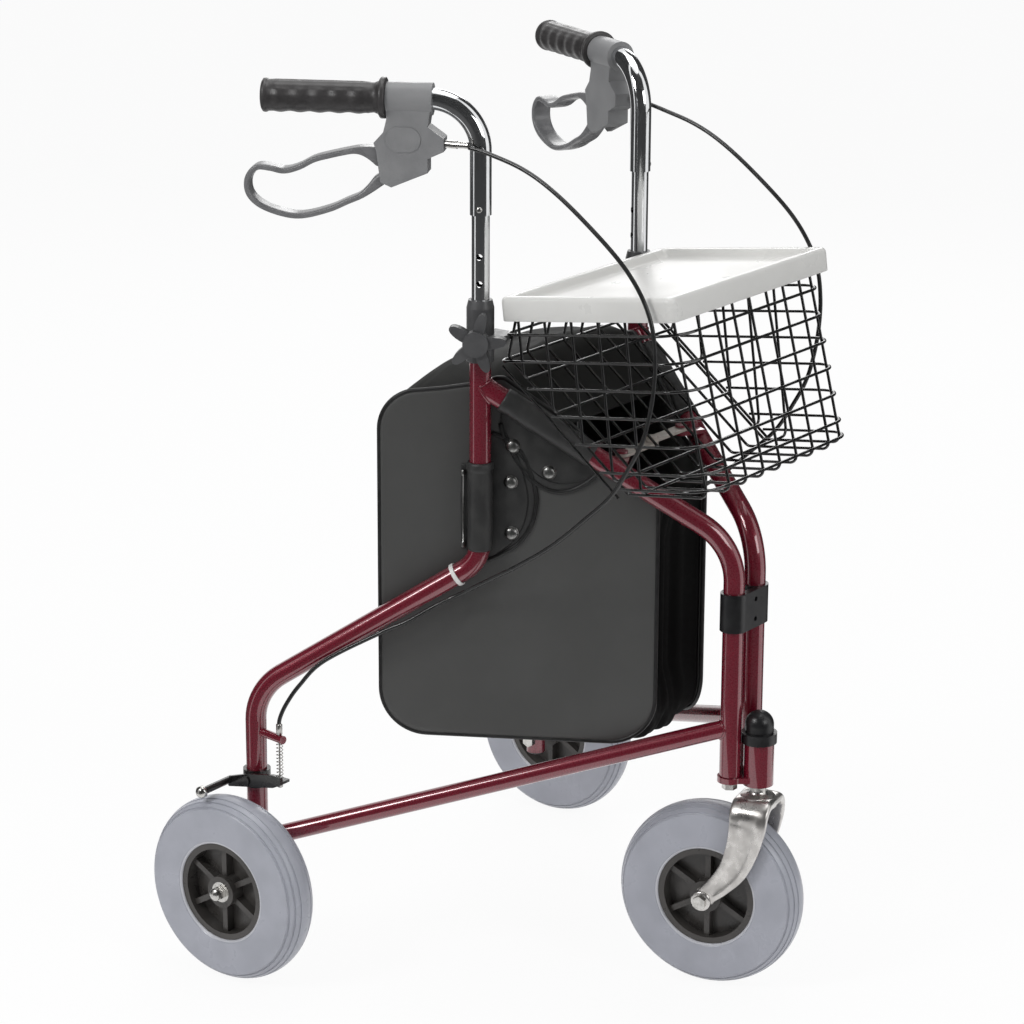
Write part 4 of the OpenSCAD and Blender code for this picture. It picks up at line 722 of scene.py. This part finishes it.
# how far in from the tray's edge, and how high, in mm: underside, skirt, lip, dish wall, dish floor
section = (
    (30, -11.5), (18, -11.5), (14, -10.8), (11.6, -8.4), (10.4, -4), (9, -2.5), (4.4, -2.5), (2.5, -5),
    (2.5, -24), (2.0, -24.3), (0.6, -24.3), (0.0, -23.6), (0.0, -6), (0.2, -4), (1.0, -2), (2.4, -0.7),
    (4.2, 0), (9, 0), (10.8, -0.4), (12.2, -1.6), (13.2, -4), (14.2, -6.6), (15.6, -8.2), (18, -9), (30, -9),
)
half_wide, half_deep = 148, 103
rows = []
for inset, high in section:
    corner = max(8 - inset, 2.5) if inset < 8 else max(9 - 0.35 * inset, 2)
    edge = rounded(half_wide - inset, half_deep - inset, corner, 14) / 1000
    rows.append(on_tray(edge[:, 0], edge[:, 1] + half_deep / 1000, np.full(len(edge), high / 1000)))
tray = piece("moulded_tray", [np.stack(rows)], white, "tray")
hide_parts("basket_tray")

# Bag sides. Two stiff boards covered in charcoal vinyl, with a cord sewn into the covering's seam
# all round; they hang from sleeves on the tubes.
vinyl = finish(
    "charcoal_vinyl", (0.070, 0.070, 0.068), (0.060, 0.060, 0.058), 9, 0.42, 0.54, 0.16, 1500
)
piping_black = finish(
    "piping_vinyl", (0.010, 0.010, 0.010), (0.018, 0.018, 0.018), 90, 0.36, 0.52, 0.12, 1500
)


def bag_outline(front, rear, low, low_r, high_r, rear_top, edge, count):
    """The side board's outline in d and z, evenly spaced: round lower corners, a round upper rear
    corner, then the given points of its upper edge, which follows the diagonal tube."""
    q = np.linspace(0, np.pi / 2, 16)
    s, c = np.sin(q), np.cos(q)
    path = np.concatenate(
        (
            np.stack((front + low_r - low_r * c, low + low_r - low_r * s), axis=-1),
            np.stack((rear - low_r + low_r * s, low + low_r - low_r * c), axis=-1),
            np.stack((rear - high_r + high_r * c, rear_top - high_r + high_r * s), axis=-1),
            np.asarray(edge, float),
        )
    )
    path = np.concatenate((path, path[:1]))
    length = np.concatenate(((0,), np.cumsum(np.linalg.norm(np.diff(path, axis=0), axis=1))))
    at = np.linspace(0, length[-1], count, endpoint=False)
    return np.stack((np.interp(at, length, path[:, 0]), np.interp(at, length, path[:, 1])), axis=-1)


top_edge = (
    (300, 634), (274, 638.5), (256, 643.5), (244, 647), (238, 647), (168, 600), (150, 583), (130, 561),
    (106, 551), (84, 536), (80, 533),
)
outline = bag_outline(
    front=80, rear=366, low=262, low_r=48, high_r=42, rear_top=631, edge=top_edge, count=420
) / 1000
# n of the board's two faces and of its piped seam, and the piping's radius
BOARD_FACE, BOARD_BACK, SEAM = -0.0131, -0.0180, -0.0155
PIPING = 0.0024
centre = np.array((0.228, 0.440))
share = np.concatenate((np.linspace(0, 0.95, 24), (0.965, 0.98, 0.99, 0.996, 1.0)))
flat = centre + share[:, None, None] * (outline - centre)
crown = BOARD_FACE - 0.0022 * np.clip((share - 0.975) / 0.025, 0, 1) ** 2
slack = 0.0006 * np.sin(flat[..., 0] * 38 + 1.1 * np.sin(flat[..., 1] * 21))
slack = slack * np.sin(flat[..., 1] * 17) * (1 - share[:, None] ** 4)
for side, sign in SIDES:
    face = on_side(sign, flat[..., 0], crown[:, None] + np.minimum(slack, 0.0004), flat[..., 1])
    back = on_side(sign, flat[..., 0], BOARD_BACK - crown[:, None] + BOARD_FACE + 0 * slack, flat[..., 1])
    both = np.concatenate((face[1:], back[:0:-1]))
    board = piece(f"{side}_bag_side", [both], vinyl, f"{side}_frame")
    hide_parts(f"{side}_bag_panel")
    rim = on_side(sign, outline[:, 0], SEAM, outline[:, 1])
    cord_edge = carry(rim * (sign, 1, 1), round_ring(PIPING, 10), RIGHT_OUT, closed=True) * (sign, 1, 1)
    piece(f"{side}_bag_piping", [cord_edge], piping_black, f"{side}_frame", along=True)

# Bag cloth. A slack band of black woven cloth, cut as a wedge and sewn to both boards' edges, runs
# down the front, under and up the back, and folds up between the boards.


def offset_pair(front, depth):
    """A sheet's two faces: the grid of points, and the grid moved back by depth along its normal, the
    cross product of its two grid directions made unit; on the border the two meet. The second comes
    in reverse row order, so that the two run round the sheet."""
    normal = np.cross(np.gradient(front, axis=0), np.gradient(front, axis=1))
    normal /= np.linalg.norm(normal, axis=-1, keepdims=True) + 1e-12
    inside = np.ones(front.shape[:2])
    inside[[0, -1]] = 0
    inside[:, [0, -1]] = 0
    return np.concatenate((front, (front - (depth * inside)[..., None] * normal)[::-1]))


cloth = finish(
    "black_cloth", (0.003, 0.003, 0.003), (0.006, 0.006, 0.006), 160, 0.80, 0.95, 0.55, 1400,
    Specular_IOR_Level=0.2,
)
# n of the cloth's sewn edge, and the share of its width that is left when the frame is folded
CLOTH_EDGE, FOLD_KEEP = -0.0186, 0.26
q = np.linspace(0, np.pi / 2, 24)
fall = np.concatenate(
    (
        np.stack((np.full(40, 82.5), np.linspace(521, 316, 40)), axis=-1),
        np.stack((128.5 - 46 * np.cos(q), 311 - 46 * np.sin(q)), axis=-1),
        np.stack((np.linspace(134, 312, 30), np.full(30, 265.0)), axis=-1),
        np.stack((317.5 + 46 * np.sin(q), 311 - 46 * np.cos(q)), axis=-1),
        np.stack((np.full(42, 363.5), np.linspace(316, 574, 42)), axis=-1),
    )
) / 1000
across = np.linspace(-1, 1, 61)
edge = on_side(1, fall[:, 0], CLOTH_EDGE, fall[:, 1])
free = 1 - across**2
floor_part = np.clip((0.330 - fall[:, 1]) / 0.06, 0, 1)
front_part = np.clip((0.140 - fall[:, 0]) / 0.05, 0, 1) * (1 - floor_part)
rear_part = np.clip((fall[:, 0] - 0.320) / 0.04, 0, 1) * (1 - floor_part)
corner_part = np.exp(-(((fall[:, 0] - 0.100) / 0.025) ** 2)) * floor_part
ruck = np.sin(9.5 * across + 0.8) * free + 0.5 * np.sin(21 * across) * free
hollow = np.clip((0.521 - fall[:, 1:]) / 0.05, 0, 1) ** 0.5
front_sag = front_part[:, None] * (0.0024 * ruck - 0.020 * hollow * free)
band = np.stack(
    np.broadcast_arrays(
        edge[:, :1] * across,
        edge[:, 1:2] + front_sag - 0.003 * rear_part[:, None] * ruck,
        edge[:, 2:] - 0.008 * floor_part[:, None] * free + 0.0055 * corner_part[:, None] * ruck,
    ),
    axis=-1,
)


def sheet_size(grid):
    """A sheet's longest row, its longest column and its area: |a x b| summed over the grid's cells."""
    a, b = np.diff(grid, axis=0)[:, 1:], np.diff(grid, axis=1)[1:]
    rows = np.linalg.norm(np.diff(grid, axis=1), axis=-1).sum(axis=1)
    columns = np.linalg.norm(np.diff(grid, axis=0), axis=-1).sum(axis=0)
    return float(rows.max()), float(columns.max()), float(np.linalg.norm(np.cross(a, b), axis=-1).sum())


wide, long, cut_area = sheet_size(band)
gusset = piece("bag_cloth_band", [offset_pair(band, 0.0015)], cloth, around=False, along=True, sew=True)
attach(gusset, "front_head")
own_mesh(gusset)
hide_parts("bag_gusset")

# Bag lid. A slack sheet of dull vinyl, cut as a wedge and sewn to the boards' upper edges, which
# arches over the bag's top and comes down to the cloth behind.
lid_line = (
    (170, 600), (190, 614), (214, 631), (236, 645), (256, 642.5), (274, 637.5), (300, 633), (324, 630),
)
q = np.linspace(np.pi / 2, 0, 18)
over = np.concatenate(
    (
        smooth_path(lid_line, 70),
        np.stack((323.5 + 40.5 * np.cos(q), 588.5 + 40.5 * np.sin(q)), axis=-1)[1:],
        np.stack((np.full(6, 364.0), np.linspace(586, 576, 6)), axis=-1),
    )
) / 1000
edge = on_side(1, over[:, 0], CLOTH_EDGE, over[:, 1])
rear_rise = np.clip((over[:, 1:] - 0.574) / 0.055, 0, 1)
front_rise = np.clip((over[:, :1] - 0.150) / 0.1, 0.1, 1) ** 2
arch = rear_rise * front_rise * (1 - np.abs(across) ** 3)
lid_vinyl = finish(
    "lid_vinyl", (0.014, 0.014, 0.013), (0.020, 0.020, 0.019), 30, 0.65, 0.80, 0.2, 1500,
    Specular_IOR_Level=0.15,
)
lid_grid = np.stack(
    np.broadcast_arrays(
        edge[:, :1] * across,
        edge[:, 1:2] - 0.006 * np.clip((over[:, :1] - 0.330) / 0.03, 0, 1) * free,
        edge[:, 2:] + 0.024 * arch + 0.0012 * np.sin(8 * across + 30 * over[:, :1]) * arch,
    ),
    axis=-1,
)
wide, long, cut_area = sheet_size(lid_grid)
lid = piece("bag_lid", [offset_pair(lid_grid, 0.0016)], lid_vinyl, around=False, along=True, sew=True)
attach(lid, "front_head")
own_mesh(lid)

# Bag sleeves and flaps. Vinyl sleeves wrap the upright and the diagonal, and piped flaps snap
# over the board with four domed studs; a thin steel rod stiffens the sleeve's rear seam.
soft_vinyl = finish(
    "flap_vinyl", (0.026, 0.026, 0.026), (0.038, 0.038, 0.037), 55, 0.38, 0.52, 0.24, 1300
)
snap_plate = finish(
    "snap_plate", (0.40, 0.40, 0.39), (0.30, 0.30, 0.29), 300, 0.30, 0.42, 0.05, 900, Metallic=1.0
)
# n of the flaps on the board and of the studs' feet, and d, n and z of the rod's lower end
FLAP, STUD = -0.0121, -0.0112
ROD = (0.2785, -0.0092, 0.468)
# u runs across a flap from its inner to its outer edge and v along it; plump is 1 inside the flap, falls to 0
# at its border, and sets how thick the flap is; a flap's cloth counts as at least this share of the plain
# rectangle it is cut from
u = np.linspace(0, 1, 25)[:, None]
v = np.linspace(0, 1, 61)[None]
plump = (1 - (2 * u - 1) ** 8) * (1 - (2 * v - 1) ** 8)


def flap_grid(inner, outer, bulge):
    """A flap between two edges in d and z: (1 - u) inner + u outer, which stands out by
    bulge 4u(1 - u) sin(pi v) from the board; returns d, n and z."""
    span = (1 - u)[..., None] * smooth_path(inner, 61) + u[..., None] * smooth_path(outer, 61)
    out = FLAP + bulge * 4 * u * (1 - u) * np.sin(np.pi * v)
    return span[..., 0] / 1000, out, span[..., 1] / 1000


half_moon = flap_grid(
    ((254, 455), (255, 520), (250, 590)),
    (
        (253, 455), (241, 461), (222, 474), (209, 494), (204, 516), (205, 531), (211, 552), (219, 571),
        (233, 583), (250, 590),
    ),
    0.0024,
)
hung_flap = flap_grid(
    ((141, 562), (190, 592), (240, 622)),
    ((141, 551), (154, 540), (170, 532), (188, 531), (205, 539), (221, 557), (236, 583), (241, 600)),
    0.0022,
)
rod_flap = flap_grid(((268, 470), (268, 515), (268, 557)), ((281, 466), (282, 512), (281, 556)), 0.0006)
t = np.linspace(0, 2 * np.pi, 48, endpoint=False)


def sleeve_grid(length, cuff):
    """A sleeve's section, (radius, run) in mm: its inside, a hem, the wrinkled outside and a cuff."""
    run = np.linspace(2, length - 10, 40)
    hem = ((11.35, 0), (12.3, 0))
    outer = np.stack((np.full(40, 12.7), run), axis=-1)
    end = (
        (12.9, length - 9), (cuff, length - 7.5), (cuff, length - 2), (12.6, length), (11.35, length),
    )
    return np.concatenate((hem, outer, end)) / 1000


upright = sleeve_grid(93, 13.8)
wrap = sleeve_grid(106, 12.9)
# the diagonal's height at the post and its rise, where the wrap starts on it and the sleeve on the
# upright, and the n at which both lie flat on the board
DIAGONAL, RISE, WRAP_FROM, SLEEVE_FROM, PRESSED = 0.485, 0.6077, 0.146, 0.470, -0.0126
slope = np.arctan2(158, 260)
stud_profile = (
    (7.4, 0), (7.6, 0.6), (7.4, 1.2), (6.8, 1.5), (6.4, 2.6), (5.2, 3.8), (3.2, 4.6), (1.2, 4.9), (0.3, 5.0),
)
stud = turned(np.array(stud_profile) / 1000, 32)
rod_profile = (
    (0.4, 0), (1.8, 0.3), (2.3, 1.5), (2.3, 5), (1.8, 6.4), (0.9, 7), (0.9, 40), (0.9, 76), (1.8, 76.6),
    (2.3, 78), (2.3, 81.5), (1.8, 82.7), (0.4, 83),
)
rod = turned(np.array(rod_profile) / 1000, 20)
for side, sign in SIDES:
    r, run = upright[:, :1], upright[:, 1:]
    crease = 1 + 0.016 * np.sin(3 * t + 60 * run) * np.sin(run * 130) * (r > 0.012)
    n = np.maximum(r * crease * np.sin(t), PRESSED)
    sleeve = on_side(sign, UPRIGHT + r * crease * np.cos(t), n, SLEEVE_FROM + run)
    r, run = wrap[:, :1], wrap[:, 1:]
    crease = 1 + 0.016 * np.sin(2 * t + 70 * run) * np.sin(run * 150) * (r > 0.012)
    d = WRAP_FROM + run * np.cos(slope) - r * crease * np.cos(t) * np.sin(slope)
    z = DIAGONAL + RISE * WRAP_FROM + run * np.sin(slope) + r * crease * np.cos(t) * np.cos(slope)
    roll = on_side(sign, d, np.maximum(r * crease * np.sin(t), PRESSED), z)
    made = piece(f"{side}_bag_sleeve", [sleeve], soft_vinyl, f"{side}_frame", along=True)
    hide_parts(f"{side}_bag_straps")
    made = piece(f"{side}_bag_wrap", [roll], soft_vinyl, f"{side}_frame", along=True)
    rims = []
    for label, (d, n, z) in (("flap", half_moon), ("hung_flap", hung_flap), ("rod_flap", rod_flap)):
        front = on_side(sign, d, n + 0 * d, z)
        back = on_side(sign, d, n - 0.0014 * plump + 0 * d, z)
        both = np.concatenate((front, back[::-1]))
        made = piece(
            f"{side}_bag_{label}", [both], soft_vinyl, f"{side}_frame",
            around=False, along=True, sew=True,
        )
        cut_area = sheet_size(front)[2]
        size = np.ptp(front.reshape(-1, 3), axis=0)
        wide, tall = float(np.hypot(size[0], size[1])), float(size[2])
        if label != "rod_flap":
            hem, stitch = front[-1] * (sign, 1, 1), front[-5] * (sign, 1, 1) + 0.0001 * RIGHT_OUT
            rims.append(carry(hem, round_ring(PIPING, 12), RIGHT_OUT) * (sign, 1, 1))
            rims.append(carry(stitch, round_ring(0.0006, 8), RIGHT_OUT) * (sign, 1, 1))
    piece(f"{side}_flap_piping", rims, piping_black, f"{side}_frame")
    studs = []
    for d, z in ((228, 577), (230, 539), (229, 485), (191, 551)):
        studs.append(on_side(sign, d / 1000 + stud[..., 0], STUD + stud[..., 2], z / 1000 + stud[..., 1]))
    studs.append(on_side(sign, ROD[0] + rod[..., 0], ROD[1] + rod[..., 1], ROD[2] + rod[..., 2]))
    made = piece(f"{side}_snap_studs", studs, snap_plate, f"{side}_frame")
    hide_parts(f"{side}_bag_snaps")

# Small trim. A white nylon tie holds each cable to the slope tube, and a plated dome nut closes
# the end of each brake bar.
nylon = finish("nylon_tie", (0.78, 0.77, 0.75), (0.70, 0.69, 0.67), 60, 0.35, 0.5, 0.1, 900)
ring = np.array(((11.2, -2.2), (12.3, -2.2), (12.5, -1.8), (12.5, 1.8), (12.3, 2.2), (11.2, 2.2))) / 1000
r, run = ring[:, :1], ring[:, 1:]
lean = np.arctan2(-150, 236)
tie_d, tie_z = 0.284, 0.4417
d = tie_d + run * np.cos(lean) - r * np.cos(t) * np.sin(lean)
z = tie_z + run * np.sin(lean) + r * np.cos(t) * np.cos(lean)
nut_profile = ((4.1, 0), (6.0, 0), (6.4, 0.5), (6.4, 4.2), (5.8, 5), (4.6, 6.6), (2.6, 7.6), (0.4, 8))
nut = turned(np.array(nut_profile) / 1000, 36)
# the end of the right brake bar
bar_x, bar_y, bar_z = 0.255148 + 0.0600, -0.228085, 0.2066
for side, sign in SIDES:
    tie = on_side(sign, d, r * np.sin(t), z)
    piece(f"{side}_cable_tie", [tie], nylon, f"{side}_frame", along=True)
    dome = np.stack((sign * (bar_x + nut[..., 2]), bar_y + nut[..., 0], bar_z + nut[..., 1]), axis=-1)
    piece(f"{side}_bar_nut", [dome], plated, f"{side}_brake_arm")
